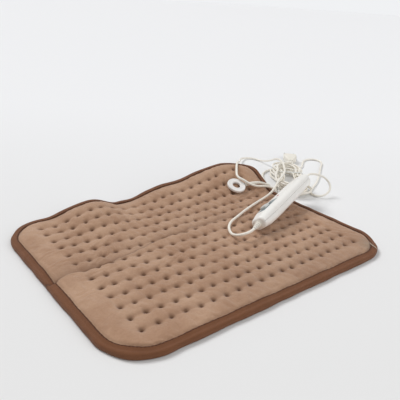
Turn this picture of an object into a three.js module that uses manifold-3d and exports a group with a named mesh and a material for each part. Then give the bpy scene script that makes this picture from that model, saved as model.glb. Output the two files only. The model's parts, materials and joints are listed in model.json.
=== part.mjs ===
// Heating pad with a hand controller: a quilted plush pad, a slide-switch
// controller on its cord, and a mains lead wound into a hank. Millimetres, +Z up.
// The origin is the middle of the pad's underside, +X along the pad's long side.
import * as THREE from "three";
import { mergeVertices } from "three/addons/utils/BufferGeometryUtils.js";
import Module from "manifold-3d";

const wasm = await Module();
wasm.setup();

// Clearances shared by all pieces
const GAP = 0.3;
const CUT_OVERRUN = 2;

// Pad outline and quilting
const PAD_LENGTH = 400;
const PAD_WIDTH = 300;
const PAD_CORNER_RADIUS = 50;
const CORNER_STEPS = 4;
const SIDE_STEP = 33;
const TUFT_COLUMNS = 20;
const TUFT_ROWS = 13;
const TUFT_MARGIN_X = 41.35;
const TUFT_MARGIN_Y = 32.4;
const TUFT_PITCH_X = (PAD_LENGTH - 2 * TUFT_MARGIN_X) / (TUFT_COLUMNS - 1);
const TUFT_PITCH_Y = (PAD_WIDTH - 2 * TUFT_MARGIN_Y) / (TUFT_ROWS - 1);

// Pad layers, from the underside up
const COVER_CLOTH = 1.2;
const WADDING = 2.1;
const ELEMENT_DIAMETER = 1.2;
const TOP_CLOTH = 1.4;
const PUFF_HEIGHT = 2.4;
const CROWN_INSET = 24;
const CROWN_HEIGHT = 2.1;
const EDGE_INSET = 1.6;
const EDGE_THICKNESS = 4.5;
const EDGE_UNDERSIDE = 1.4;
const EDGE_CLOTH = 1.1;
const WADDING_INSET = 14;
const WADDING_EDGE = 0.45;
const WADDING_DROP = 1;
const LOWER_WADDING_DROP = 0.5;
const BINDING_WIDTH = 9;
const BINDING_CLOTH = 0.8;
const BINDING_NOSE = 0.3;

// Waves of the pad as it lies: the raised back corner, a hump and a swell
const CORNER_RISE = 28;
const CORNER_RISE_FROM_X = -20;
const CORNER_RISE_TO_X = 160;
const CORNER_RISE_FROM_Y = 54;
const CORNER_RISE_TO_Y = 118;
const CORNER_RISE_SKEW_SHARE = 0.3;
const HUMP_RISE = 12;
const HUMP_X = -80;
const HUMP_REACH_LEFT = 63;
const HUMP_REACH_RIGHT = 45;
const HUMP_FROM_Y = 38;
const HUMP_TO_Y = 128;
const SWELL_RISE = 6.5;
const SWELL_X = 28;
const SWELL_REACH = 52;
const SWELL_FROM_Y = 92;
const SWELL_TO_Y = 152;

// Heating element, thermostat and splice inside the pad
const ELEMENT_FIRST_ROW = 1;
const ELEMENT_LAST_ROW = 11;
const ELEMENT_ROW_STEP = 2;
const ELEMENT_MARGIN_COLUMNS = 1;
const ELEMENT_SIDES = 4;
const THERMOSTAT_LENGTH = 12;
const THERMOSTAT_WIDTH = 6;
const THERMOSTAT_HEIGHT = 3.4;
const THERMOSTAT_TUFT = [13, 4];
const SPLICE_TUFT = [17, 10];
const SPLICE_LENGTH = 24;
const SPLICE_WIDTH = 8;
const SPLICE_HEIGHT = 3.4;
const POCKET_CLEARANCE = 0.5;

// Cord anchor ring on the pad
const ANCHOR_X = 137;
const ANCHOR_Y = 84;
const ANCHOR_RADIUS = 14.5;
const ANCHOR_BORE_RADIUS = 6;
const ANCHOR_THICKNESS = 4.2;
const ANCHOR_EDGE_RADIUS = 1.4;
const ANCHOR_SEGMENTS = 24;
const ANCHOR_STANDOFF = 15;
const SLEEVE_TURN = -12 * Math.PI / 180;
const SLEEVE_STRAIGHT = 4;
const SLEEVE_ROUTE = [[168, 79, 23], [181, 77.2, 21.8], [190.5, 75.4, 19]];
const SLEEVE_ROOT_RADIUS = 2.9;
const SLEEVE_TIP_RADIUS = 2.2;
const SLEEVE_SIDES = 10;

// Cords
const CORD_DIAMETER = 3.6;
const CORD_SIDES = 8;

// Controller body, laid with its near end on the pad and its far end on the hank
const BODY_NEAR = [67, -35.5, 23.8];
const BODY_AIM = [223, 26, 35.2];
const BODY_ROLL = 40 * Math.PI / 180;
const BODY_LENGTH = 167;
const BODY_WIDTH = 30;
const BODY_THICKNESS = 20;
const BODY_NEAR_SHARE = 0.72;
const BODY_FAR_SHARE = 0.88;
const BODY_NEAR_TAPER = 47;
const BODY_FAR_TAPER = 40;
const BODY_NOSE_SHARE = 0.8;
const BODY_NOSE_TAPER = 19;
const BODY_WALL = 2.2;
const BODY_CORNER_RADIUS = 7;
const BODY_END_RADIUS = 3;
const BODY_CORNER_STEPS = 3;
const BODY_CAVITY_END_RADIUS = 1.2;
const BODY_STATION = 14;

// Slide switch on the controller's front
const SWITCH_SHARE = 0.25;
const SWITCH_CENTRE = SWITCH_SHARE * BODY_LENGTH;
const SCALE_LENGTH = 46;
const SCALE_WIDTH = 13;
const SCALE_PLATE = 0.7;
const RECESS_DEPTH = 1.2;
const SLIDER_TRAVEL = 15;
const STEM_LENGTH = 6;
const STEM_WIDTH = 3.6;
const KNOB_LENGTH = 12;
const KNOB_WIDTH = 8.6;
const KNOB_HEIGHT = 3;
const KNOB_RIB_COUNT = 4;
const KNOB_RIB_DEPTH = 0.6;
const KNOB_FOOT_LENGTH = 9;
const KNOB_FOOT_WIDTH = 7;
const KNOB_FOOT_THICKNESS = 1.2;
const SWITCH_BODY_LENGTH = 32;
const SWITCH_BODY_WIDTH = 10;

// Indicator lamp
const LENS_SHARE = 0.47;
const LENS_CENTRE = LENS_SHARE * BODY_LENGTH;
const LENS_RADIUS = 2.2;
const LENS_PROUD = 0.5;
const LENS_FLANGE = 0.9;
const LENS_FLANGE_THICKNESS = 0.8;
const LAMP_RADIUS = 1.5;

// Circuit board and what stands on it, placed in shares of the body's length
const BOARD_START_SHARE = 0.132;
const BOARD_END_SHARE = 0.79;
const BOARD_START = BOARD_START_SHARE * BODY_LENGTH;
const BOARD_END = BOARD_END_SHARE * BODY_LENGTH;
const BOARD_WIDTH = 18;
const BOARD_THICKNESS = 1.6;
const BOARD_TOP = 0.6;
const FILM_CAPACITOR = [13, 5.5, 5.2];
const FILM_CAPACITOR_SHARE = 0.55;
const TRIAC = [4.6, 10, 5.4];
const TRIAC_SHARE = 0.623;
const CHIP = [10, 6.2, 1.8];
const CHIP_SHARE = 0.407;
const ELECTROLYTIC_RADIUS = 2.6;
const ELECTROLYTIC_LENGTH = 5.6;
const ELECTROLYTIC_SHARE = 0.677;
const FUSE_RADIUS = 2.2;
const FUSE_LENGTH = 9;
const FUSE_SHARE = 0.743;
const ROUND_SEGMENTS = 16;

// Screws through the back shell
const SCREW_NEAR_MARGIN = 13;
const SCREW_FAR_MARGIN = 15;
const SCREW_PLACES = [SCREW_NEAR_MARGIN, BODY_LENGTH - SCREW_FAR_MARGIN];
const SCREW_SHANK_RADIUS = 1.2;
const SCREW_HEAD_RADIUS = 2.5;
const SCREW_HEAD_HEIGHT = 1.5;
const SCREW_HEAD_TOP = -8.2;
const SCREW_TIP = 4.6;
const BOSS_WALL = 1.5;
const POST_RADIUS = 1.6;
const POST_SHARES = [0.18, 0.743];
const POST_SPREAD = 6;

// Strain reliefs, as length, root radius and rib count
const RELIEF_NECK_RADIUS = 3.2;
const RELIEF_FLANGE_RADIUS = 4.4;
const RELIEF_FLANGE_THICKNESS = 1.6;
const RELIEF_TIP_RADIUS = 2.3;
const RELIEF_RIB_DEPTH = 0.7;
const RELIEF_SEGMENTS = 12;
const NEAR_RELIEF = { length: 14, root: 4.8, ribs: 4 };
const FAR_RELIEF = { length: 20, root: 4.4, ribs: 4 };

// Wires inside the controller
const WIRE_DIAMETER = 1.4;
const WIRE_SPREAD = 1.6;
const WIRE_BYPASS = 6.6;
const WIRE_PAD_SPREAD = 6.4;
const WIRE_LANDING = 4;
const WIRE_SIDES = 6;

// Two-pin mains plug
const PLUG_REAR = [348, 157, 7];
const PLUG_TURN = 46 * Math.PI / 180;
const PLUG_LENGTH = 34;
const PLUG_REAR_WIDTH = 11;
const PLUG_FRONT_WIDTH = 25;
const PLUG_THICKNESS = 13.6;
const PLUG_REAR_THICKNESS = 9;
const PLUG_CORNER_RADIUS = 3.4;
const PLUG_CORNER_STEPS = 3;
const PLUG_EDGE = 1;
const PLUG_SHOULDER = 24;
const PLUG_NECK = 6;
const PIN_SPACING = 18.6;
const PIN_TIP_SPACING = 17.5;
const PIN_RADIUS = 2;
const PIN_LENGTH = 19;
const PIN_SEAT = 6;
const PLUG_RELIEF = { length: 20, root: 3.6, ribs: 4 };

// Hank of the mains lead, wound as two loops in each of four layers
const HANK_CENTRE = [264, 87];
const HANK_TURN = Math.atan2(0.785, 0.62);
const HANK_RUN = 70;
const HANK_INNER_RADIUS = 14;
const HANK_STEP = 7.4;
const HANK_LOOPS = 2;
const HANK_LAYERS = 4;
const HANK_RISE = 5.6;
const HANK_WAIST_SHARE = 0.34;
const HANK_WAIST_REACH = 24;
const HANK_START = 3.1;
const HANK_RUN_STEPS = 4;
const HANK_FOLD_STEPS = 8;
const HANK_SIDES = 6;
const TIE_WIDTH = 4.6;
const TIE_THICKNESS = 0.8;
const TIE_CORNER_RADIUS = 2;
const TIE_CLEARANCE = 0.4;

// Routes of the free cords between their ends, chosen by hand, as heights above the floor
const PAD_CORD_ROUTE = [
  [200, 74.9, 15.6], [206.4, 78.2, 10.8], [212.2, 84, 6.2], [218.8, 92.8, 3], [227, 106, 1.9],
  [238, 121, 1.9], [251, 137, 1.9], [267, 149, 1.9], [285, 154, 1.9], [303, 152, 1.9],
  [316, 146, 1.9], [326, 138, 1.9], [340, 133, 1.9], [357, 137, 1.9], [372, 147.5, 1.9],
  [385, 157, 1.9], [398, 162.2, 1.9], [409.2, 161.4, 1.9], [417.4, 154.6, 1.9],
  [419, 144.4, 1.9], [413.4, 134.4, 1.9], [397, 122, 1.9], [372, 104.5, 1.9], [344, 85, 1.9],
  [316, 67, 1.9], [292, 54.5, 1.9], [274.5, 45.5, 1.9], [263, 36.6, 1.9], [259.6, 25.6, 2.2],
  [264.6, 15.6, 4.2], [274.4, 12.6, 8.4], [282.8, 15.4, 15], [285, 22, 22.6], [280.4, 29.4, 29],
  [271, 34.6, 33.2], [259, 37, 35.8],
];
const MAINS_CORD_ROUTE = [
  [45.2, -43.3, 22.1], [40.4, -42.7, 21], [35.8, -40.5, 19.4], [32.5, -36.7, 17.6],
  [30.8, -31.9, 15.9], [30.8, -26.6, 14.7], [32.8, -21.2, 13.9], [38, -12.2, 13.8],
  [46.4, -3, 13.8], [57, 4.4, 13.8], [70, 10, 13.8], [94, 20, 13.8], [150, 39, 14],
  [176, 47, 15.8], [198, 57, 20.6], [214, 66, 24.2], [229.3, 73.7, 25.4], [256.5, 92.9, 25.6],
  [268.9, 106.1, 26.4], [278.6, 119, 28.6], [284, 130, 28.8], [288, 140, 27], [299.5, 163, 16.5],
  [309, 190, 5.4], [311, 205, 2.4], [308, 218.5, 2.1], [298.5, 226.5, 2.4], [284, 224.5, 4.4],
  [249, 195.5, 13.6], [211, 159.5, 27.4], [195, 144, 34.6], [180, 130.5, 40.2],
  [165.5, 117, 41.2], [154, 104, 36.8], [147.5, 92.5, 32.6], [149.6, 84, 30.6],
  [154.2, 76.4, 27], [161.8, 71, 23.2], [171.5, 68.4, 20.8], [192, 65.6, 16.6],
  [201.4, 63.8, 11.2], [207.2, 64.9, 7], [211.9, 67.3, 4.2],
];
const PLUG_CORD_ROUTE = [
  [234, 91.5, 22.8], [247.1, 100.3, 25.6], [258.6, 111.7, 25.2], [270.4, 120.2, 24.4],
  [282.5, 123.4, 24.1], [295, 123.8, 24], [306.6, 124.8, 23.8], [312.1, 126.3, 22.5],
  [317.3, 128.7, 18.5], [321.9, 131.5, 12.6], [326.6, 135.4, 8.2],
];

const UP = new THREE.Vector3(0, 0, 1);
const smooth = THREE.MathUtils.smoothstep;
const lerp = THREE.MathUtils.lerp;

// Finishes, as colour, roughness and metalness

function finish(color, roughness, metalness = 0) {
  return new THREE.MeshStandardMaterial({ color, roughness, metalness });
}

const PLUSH = finish(0xb2947a, 0.95);
const BACKING = finish(0xa88a70, 0.95);
const BINDING = finish(0x7a4e38, 0.9);
const FLEECE = finish(0xe9e4da, 1);
const ELEMENT = finish(0xd8c9a8, 0.6);
const WHITE_PLASTIC = finish(0xe8e4de, 0.45);
const RING_PLASTIC = finish(0xefede9, 0.4);
const SOFT_VINYL = finish(0xe9e2d4, 0.55);
const SCALE_GREY = finish(0x8fa0a4, 0.5);
const KNOB_PLASTIC = finish(0xd9dad8, 0.45);
const BOARD_GREEN = finish(0x2f6b45, 0.6);
const DARK_MOULDING = finish(0x2c2c2e, 0.55);
const BLUE_MOULDING = finish(0x3b5f94, 0.5);
const GLASS_BODY = finish(0xd9dcdc, 0.2);
const RED_LENS = finish(0xb53a2c, 0.2);
const STEEL = finish(0xb9bcc0, 0.3, 1);
const NICKEL = finish(0xc3c2bd, 0.25, 1);
const CLEAR_TIE = finish(0xe6e6e2, 0.4);

// Solids: merging, boolean work and meshes

function bare(geometry) {
  const copy = geometry.clone();
  copy.deleteAttribute("normal");
  copy.deleteAttribute("uv");
  const merged = mergeVertices(copy, 1e-4);
  const index = Array.from(merged.index.array);
  const kept = [];
  for (let k = 0; k < index.length; k += 3) {
    const [a, b, c] = index.slice(k, k + 3);
    if (a !== b && b !== c && c !== a) {
      kept.push(a, b, c);
    }
  }
  merged.setIndex(kept);
  return merged;
}

function signedVolume(geometry) {
  const position = geometry.getAttribute("position");
  const index = geometry.index;
  const [a, b, c] = [new THREE.Vector3(), new THREE.Vector3(), new THREE.Vector3()];
  let volume = 0;
  for (let k = 0; k < index.count; k += 3) {
    a.fromBufferAttribute(position, index.getX(k));
    b.fromBufferAttribute(position, index.getX(k + 1));
    c.fromBufferAttribute(position, index.getX(k + 2));
    volume += a.dot(b.cross(c)) / 6;
  }
  return volume;
}

// Returns the geometry merged, with its faces turned outwards
function outward(geometry) {
  const merged = bare(geometry);
  if (signedVolume(merged) < 0) {
    const index = merged.index;
    for (let k = 0; k < index.count; k += 3) {
      const first = index.getX(k);
      index.setX(k, index.getX(k + 1));
      index.setX(k + 1, first);
    }
  }
  return merged;
}

function solid(geometry, matrix = null) {
  const merged = outward(geometry);
  if (matrix) {
    merged.applyMatrix4(matrix);
  }
  return new wasm.Manifold(new wasm.Mesh({
    numProp: 3,
    vertProperties: new Float32Array(merged.getAttribute("position").array),
    triVerts: new Uint32Array(merged.index.array),
  }));
}

function geometryOf(manifold) {
  const { vertProperties, triVerts, numProp } = manifold.getMesh();
  const geometry = new THREE.BufferGeometry();
  const xyz = new Float32Array(vertProperties.length / numProp * 3);
  for (let k = 0; k < xyz.length / 3; k += 1) {
    xyz.set(vertProperties.subarray(k * numProp, k * numProp + 3), k * 3);
  }
  geometry.setAttribute("position", new THREE.BufferAttribute(xyz, 3));
  geometry.setIndex(new THREE.BufferAttribute(new Uint32Array(triVerts), 1));
  return geometry;
}

function part(name, geometry, material) {
  const shape = outward(geometry);
  shape.computeVertexNormals();
  const mesh = new THREE.Mesh(shape, material);
  mesh.name = name;
  return mesh;
}

function at(x, y, z) {
  return new THREE.Matrix4().makeTranslation(x, y, z);
}

function box(length, width, height, x, y, z) {
  return new THREE.BoxGeometry(length, width, height).translate(x, y, z);
}

// A cylinder standing along +Z from the given height
function post(radius, from, to, x, y, segments = ROUND_SEGMENTS) {
  return new THREE.CylinderGeometry(radius, radius, to - from, segments)
    .rotateX(Math.PI / 2)
    .translate(x, y, (from + to) / 2);
}

// A curve through given points, each one a step of its tube
class StepCurve extends THREE.Curve {
  constructor(points) {
    super();
    this.points = points;
  }

  getPoint(share, target = new THREE.Vector3()) {
    const place = Math.min(Math.max(share, 0), 1) * (this.points.length - 1);
    const step = Math.min(Math.floor(place), this.points.length - 2);
    return target.lerpVectors(this.points[step], this.points[step + 1], place - step);
  }

  getPointAt(share, target) {
    return this.getPoint(share, target);
  }

  getTangentAt(share, target = new THREE.Vector3()) {
    const reach = 0.25 / (this.points.length - 1);
    return target.copy(this.getPoint(share + reach)).sub(this.getPoint(share - reach)).normalize();
  }
}

function roundShape(radius, sides) {
  const shape = new THREE.Shape();
  for (let k = 0; k < sides; k += 1) {
    const angle = (k + 0.5) / sides * Math.PI * 2;
    const [x, y] = [radius * Math.cos(angle), radius * Math.sin(angle)];
    if (k === 0) {
      shape.moveTo(x, y);
    } else {
      shape.lineTo(x, y);
    }
  }
  shape.closePath();
  return shape;
}

function tube(points, diameter, sides) {
  return new THREE.ExtrudeGeometry(roundShape(diameter / 2, sides), {
    steps: points.length - 1,
    extrudePath: new StepCurve(points),
  });
}

// Joins rings of equal point counts into one closed body, capped at both ends
function loft(rings) {
  const count = rings[0].length;
  const positions = rings.flat().flatMap((point) => [point.x, point.y, point.z]);
  const index = [];
  for (let r = 0; r + 1 < rings.length; r += 1) {
    for (let k = 0; k < count; k += 1) {
      const next = (k + 1) % count;
      const [a, b] = [r * count + k, r * count + next];
      index.push(a, b, b + count, a, b + count, a + count);
    }
  }
  const last = (rings.length - 1) * count;
  for (let k = 1; k + 1 < count; k += 1) {
    index.push(0, k + 1, k, last, last + k, last + k + 1);
  }
  const geometry = new THREE.BufferGeometry();
  geometry.setAttribute("position", new THREE.Float32BufferAttribute(positions, 3));
  geometry.setIndex(index);
  return geometry;
}

// Pad: height of its underside above the floor

function bump(x, centre, reachLeft, reachRight) {
  const share = (x - centre) / (x < centre ? reachLeft : reachRight);
  return Math.abs(share) < 1 ? (1 - share * share) ** 2 : 0;
}

function lift(x, y) {
  const cornerTop = CORNER_RISE_TO_Y + CORNER_RISE_SKEW_SHARE * Math.max(PAD_LENGTH / 2 - x, 0);
  const corner = CORNER_RISE * smooth(x, CORNER_RISE_FROM_X, CORNER_RISE_TO_X)
    * smooth(y, CORNER_RISE_FROM_Y, cornerTop);
  const hump = HUMP_RISE * bump(x, HUMP_X, HUMP_REACH_LEFT, HUMP_REACH_RIGHT)
    * smooth(y, HUMP_FROM_Y, HUMP_TO_Y);
  const swell = SWELL_RISE * bump(x, SWELL_X, SWELL_REACH, SWELL_REACH)
    * smooth(y, SWELL_FROM_Y, SWELL_TO_Y);
  return corner + hump + swell;
}

// Heights of the pad's layers above its underside
const LOWER_WADDING_TOP = COVER_CLOTH + GAP + WADDING;
const UPPER_WADDING_BOTTOM = LOWER_WADDING_TOP + 2 * GAP + ELEMENT_DIAMETER;
const UPPER_WADDING_TOP = UPPER_WADDING_BOTTOM + WADDING;
const TOP_COVER_BOTTOM = UPPER_WADDING_TOP + GAP;
const TUFT_TOP = TOP_COVER_BOTTOM + TOP_CLOTH;
const PUFF_TOP = TUFT_TOP + PUFF_HEIGHT;

// Pad: plan of tufts and of rings parallel to the outline

function tuft(column, row) {
  return [
    (column - (TUFT_COLUMNS - 1) / 2) * TUFT_PITCH_X,
    (row - (TUFT_ROWS - 1) / 2) * TUFT_PITCH_Y,
  ];
}

// Points of the rounded outline, each with the outward direction there
function outlinePoints() {
  const [sideX, sideY] = [PAD_LENGTH / 2 - PAD_CORNER_RADIUS, PAD_WIDTH / 2 - PAD_CORNER_RADIUS];
  const corners = [[sideX, -sideY], [sideX, sideY], [-sideX, sideY], [-sideX, -sideY]];
  const points = [];
  corners.forEach(([x, y], k) => {
    const start = (k - 1) * Math.PI / 2;
    for (let step = 0; step <= CORNER_STEPS; step += 1) {
      const angle = start + step / CORNER_STEPS * Math.PI / 2;
      points.push({ x, y, dx: Math.cos(angle), dy: Math.sin(angle) });
    }
    const [nextX, nextY] = corners[(k + 1) % corners.length];
    const side = Math.hypot(nextX - x, nextY - y);
    const steps = Math.max(Math.round(side / SIDE_STEP), 1);
    const angle = start + Math.PI / 2;
    for (let step = 1; step < steps; step += 1) {
      points.push({
        x: lerp(x, nextX, step / steps),
        y: lerp(y, nextY, step / steps),
        dx: Math.cos(angle),
        dy: Math.sin(angle),
      });
    }
  });
  return points;
}

const OUTLINE = outlinePoints();

function ringPoint(point, inset) {
  const reach = PAD_CORNER_RADIUS - inset;
  return [point.x + reach * point.dx, point.y + reach * point.dy];
}

// Points of one ring; between the crown and the edge the cloth runs straight
function ring(inset, height) {
  return OUTLINE.map((point) => {
    const [x, y] = ringPoint(point, inset);
    const share = Math.min((CROWN_INSET - inset) / (CROWN_INSET - EDGE_INSET), 1);
    const crown = lift(...ringPoint(point, CROWN_INSET));
    const base = lerp(crown, lift(...ringPoint(point, EDGE_INSET)), share);
    return new THREE.Vector3(x, y, base + height);
  });
}

class SheetBuilder {
  constructor() {
    this.points = [];
    this.index = [];
  }

  add(point) {
    this.points.push(point);
    return this.points.length - 1;
  }

  addRing(points) {
    return points.map((point) => this.add(point));
  }

  triangle(a, b, c, up) {
    this.index.push(...(up ? [a, b, c] : [a, c, b]));
  }

  // Joins two rings of equal counts, the first one inside the second
  strip(inner, outer, up) {
    inner.forEach((a, k) => {
      const next = (k + 1) % inner.length;
      this.triangle(a, outer[k], outer[next], up);
      this.triangle(a, outer[next], inner[next], up);
    });
  }

  // Joins two rings of different counts, always taking the shorter diagonal in plan
  bridge(inner, outer, up) {
    const angle = (id) => Math.atan2(this.points[id].y / PAD_WIDTH, this.points[id].x / PAD_LENGTH);
    const apart = (a, b) => {
      const [p, q] = [this.points[a], this.points[b]];
      return Math.hypot(p.x - q.x, p.y - q.y);
    };
    const inside = [...inner].sort((a, b) => angle(a) - angle(b));
    const turned = [...outer].sort((a, b) => angle(a) - angle(b));
    const distances = turned.map((id) => apart(inside[0], id));
    const start = distances.indexOf(Math.min(...distances));
    const outside = [...turned.slice(start), ...turned.slice(0, start)];
    let [i, j] = [0, 0];
    while (i < inside.length || j < outside.length) {
      const [a, b] = [inside[i % inside.length], outside[j % outside.length]];
      const [nextA, nextB] = [inside[(i + 1) % inside.length], outside[(j + 1) % outside.length]];
      if (j === outside.length || (i < inside.length && apart(nextA, b) < apart(a, nextB))) {
        this.triangle(a, b, nextA, up);
        i += 1;
      } else {
        this.triangle(a, b, nextB, up);
        j += 1;
      }
    }
  }

  geometry() {
    const geometry = new THREE.BufferGeometry();
    const positions = this.points.flatMap((point) => [point.x, point.y, point.z]);
    geometry.setAttribute("position", new THREE.Float32BufferAttribute(positions, 3));
    geometry.setIndex(this.index);
    return geometry;
  }
}

// One face of a layer: the tuft grid, puffed between the tufts or plain, and its outer rings
function layerFace(sheet, { height, puff = 0, rings }, up) {
  const ids = [];
  for (let column = 0; column < TUFT_COLUMNS; column += 1) {
    ids.push([]);
    for (let row = 0; row < TUFT_ROWS; row += 1) {
      const [x, y] = tuft(column, row);
      ids[column].push(sheet.add(new THREE.Vector3(x, y, lift(x, y) + height)));
    }
  }
  const middles = new Map();
  const middle = (a, b) => {
    const key = `${Math.min(a, b)}_${Math.max(a, b)}`;
    if (!middles.has(key)) {
      const [p, q] = [sheet.points[a], sheet.points[b]];
      const [x, y] = [(p.x + q.x) / 2, (p.y + q.y) / 2];
      middles.set(key, sheet.add(new THREE.Vector3(x, y, lift(x, y) + height + puff)));
    }
    return middles.get(key);
  };
  for (let column = 0; column + 1 < TUFT_COLUMNS; column += 1) {
    for (let row = 0; row + 1 < TUFT_ROWS; row += 1) {
      const corners = [
        ids[column][row], ids[column + 1][row], ids[column + 1][row + 1], ids[column][row + 1],
      ];
      if (puff) {
        const mids = corners.map((id, k) => middle(id, corners[(k + 1) % corners.length]));
        corners.forEach((id, k) => {
          sheet.triangle(id, mids[k], mids[(k + 3) % corners.length], up);
        });
        sheet.triangle(mids[0], mids[1], mids[2], up);
        sheet.triangle(mids[0], mids[2], mids[3], up);
      } else {
        sheet.triangle(corners[0], corners[1], corners[2], up);
        sheet.triangle(corners[0], corners[2], corners[3], up);
      }
    }
  }
  const border = [];
  const [lastColumn, lastRow] = [TUFT_COLUMNS - 1, TUFT_ROWS - 1];
  for (let column = 0; column < lastColumn; column += 1) {
    border.push([ids[column][0], ids[column + 1][0]]);
    border.push([ids[column][lastRow], ids[column + 1][lastRow]]);
  }
  for (let row = 0; row < lastRow; row += 1) {
    border.push([ids[0][row], ids[0][row + 1]]);
    border.push([ids[lastColumn][row], ids[lastColumn][row + 1]]);
  }
  const edge = new Set(border.flat());
  if (puff) {
    border.forEach(([a, b]) => edge.add(middle(a, b)));
  }
  let inner = [...edge];
  rings.forEach(([inset, ringHeight], k) => {
    const outer = sheet.addRing(ring(inset, ringHeight));
    if (k === 0) {
      sheet.bridge(inner, outer, up);
    } else {
      sheet.strip(inner, outer, up);
    }
    inner = outer;
  });
  return inner;
}

function layer(top, bottom) {
  const sheet = new SheetBuilder();
  const upper = layerFace(sheet, top, true);
  const lower = layerFace(sheet, bottom, false);
  sheet.strip(upper, lower, true);
  return sheet.geometry();
}

function marginHeight(crown, edge, inset) {
  return lerp(crown, edge, (CROWN_INSET - inset) / (CROWN_INSET - EDGE_INSET));
}

// Pad pieces

function topCover() {
  const top = {
    height: TUFT_TOP,
    puff: PUFF_HEIGHT,
    rings: [
      [CROWN_INSET, TUFT_TOP + CROWN_HEIGHT],
      [BINDING_WIDTH, marginHeight(TUFT_TOP + CROWN_HEIGHT, EDGE_THICKNESS, BINDING_WIDTH)],
      [EDGE_INSET, EDGE_THICKNESS],
    ],
  };
  const bottom = {
    height: TOP_COVER_BOTTOM,
    rings: [[CROWN_INSET, TOP_COVER_BOTTOM], [EDGE_INSET, EDGE_THICKNESS - EDGE_CLOTH]],
  };
  return part("top_cover", layer(top, bottom), PLUSH);
}

function bottomCover() {
  const top = {
    height: COVER_CLOTH,
    rings: [[CROWN_INSET, COVER_CLOTH], [EDGE_INSET, EDGE_UNDERSIDE + EDGE_CLOTH]],
  };
  const bottom = {
    height: 0,
    rings: [[CROWN_INSET, 0], [BINDING_WIDTH, BINDING_CLOTH + GAP], [EDGE_INSET, EDGE_UNDERSIDE]],
  };
  return part("bottom_cover", layer(top, bottom), BACKING);
}

function pocketed(geometry, pockets) {
  return geometryOf(pockets.reduce((body, pocket) => body.subtract(pocket), solid(geometry)));
}

function waddings(pockets) {
  const ceiling = marginHeight(TOP_COVER_BOTTOM, EDGE_THICKNESS - EDGE_CLOTH, WADDING_INSET);
  const upperEdge = ceiling - GAP - WADDING_DROP;
  const floor = marginHeight(COVER_CLOTH, EDGE_UNDERSIDE + EDGE_CLOTH, WADDING_INSET);
  const lowerEdge = floor + GAP + LOWER_WADDING_DROP;
  const upper = layer(
    {
      height: UPPER_WADDING_TOP,
      rings: [[CROWN_INSET, UPPER_WADDING_TOP], [WADDING_INSET, upperEdge]],
    },
    {
      height: UPPER_WADDING_BOTTOM,
      rings: [[CROWN_INSET, UPPER_WADDING_BOTTOM], [WADDING_INSET, upperEdge - WADDING_EDGE]],
    },
  );
  const lower = layer(
    {
      height: LOWER_WADDING_TOP,
      rings: [[CROWN_INSET, LOWER_WADDING_TOP], [WADDING_INSET, LOWER_WADDING_TOP]],
    },
    {
      height: COVER_CLOTH + GAP,
      rings: [[CROWN_INSET, COVER_CLOTH + GAP], [WADDING_INSET, lowerEdge]],
    },
  );
  return [
    part("upper_wadding", pocketed(upper, pockets), FLEECE),
    part("lower_wadding", pocketed(lower, pockets), FLEECE),
  ];
}

// The folded tape around the edge, as rings of its section
function edgeBinding() {
  const topAt = (inset) => marginHeight(TUFT_TOP + CROWN_HEIGHT, EDGE_THICKNESS, inset) + GAP;
  const nose = EDGE_THICKNESS - EDGE_UNDERSIDE;
  const section = [
    [BINDING_WIDTH, topAt(BINDING_WIDTH) + BINDING_CLOTH],
    [EDGE_INSET, topAt(EDGE_INSET) + BINDING_CLOTH],
    [BINDING_NOSE, topAt(EDGE_INSET)],
    [0, nose],
    [BINDING_NOSE, BINDING_CLOTH],
    [EDGE_INSET, 0],
    [BINDING_WIDTH, 0],
    [BINDING_WIDTH, BINDING_CLOTH],
    [EDGE_INSET, BINDING_CLOTH],
    [BINDING_CLOTH, nose],
    [EDGE_INSET, topAt(EDGE_INSET)],
    [BINDING_WIDTH, topAt(BINDING_WIDTH)],
  ];
  const sheet = new SheetBuilder();
  const rings = section.map(([inset, height]) => sheet.addRing(ring(inset, height)));
  section.forEach(([inset], k) => {
    const next = (k + 1) % section.length;
    if (section[next][0] > inset) {
      sheet.strip(rings[next], rings[k], false);
    } else {
      sheet.strip(rings[k], rings[next], true);
    }
  });
  return part("edge_binding", sheet.geometry(), BINDING);
}

// The height of the element's layer at the middle of a cell's side or of a cell
function bedHeight(column, row) {
  const [c, r] = [Math.floor(column), Math.floor(row)];
  const [overColumn, overRow] = [column > c ? 1 : 0, row > r ? 1 : 0];
  const [low, high] = [tuft(c, r), tuft(c + overColumn, r + overRow)];
  return (lift(...low) + lift(...high)) / 2;
}

function bedPoint(column, row) {
  const [x, y] = tuft(column, row);
  const height = (LOWER_WADDING_TOP + UPPER_WADDING_BOTTOM) / 2;
  return new THREE.Vector3(x, y, bedHeight(column, row) + height);
}

// Leaves out the points that lie on the straight line between their neighbours
function withoutStraightPoints(points) {
  const kept = [points[0]];
  for (let k = 1; k + 1 < points.length; k += 1) {
    const before = kept[kept.length - 1];
    const along = points[k + 1].clone().sub(before);
    const across = points[k].clone().sub(before).cross(along).length() / along.length();
    if (across > ELEMENT_DIAMETER / 40) {
      kept.push(points[k]);
    }
  }
  kept.push(points[points.length - 1]);
  return kept;
}

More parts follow.
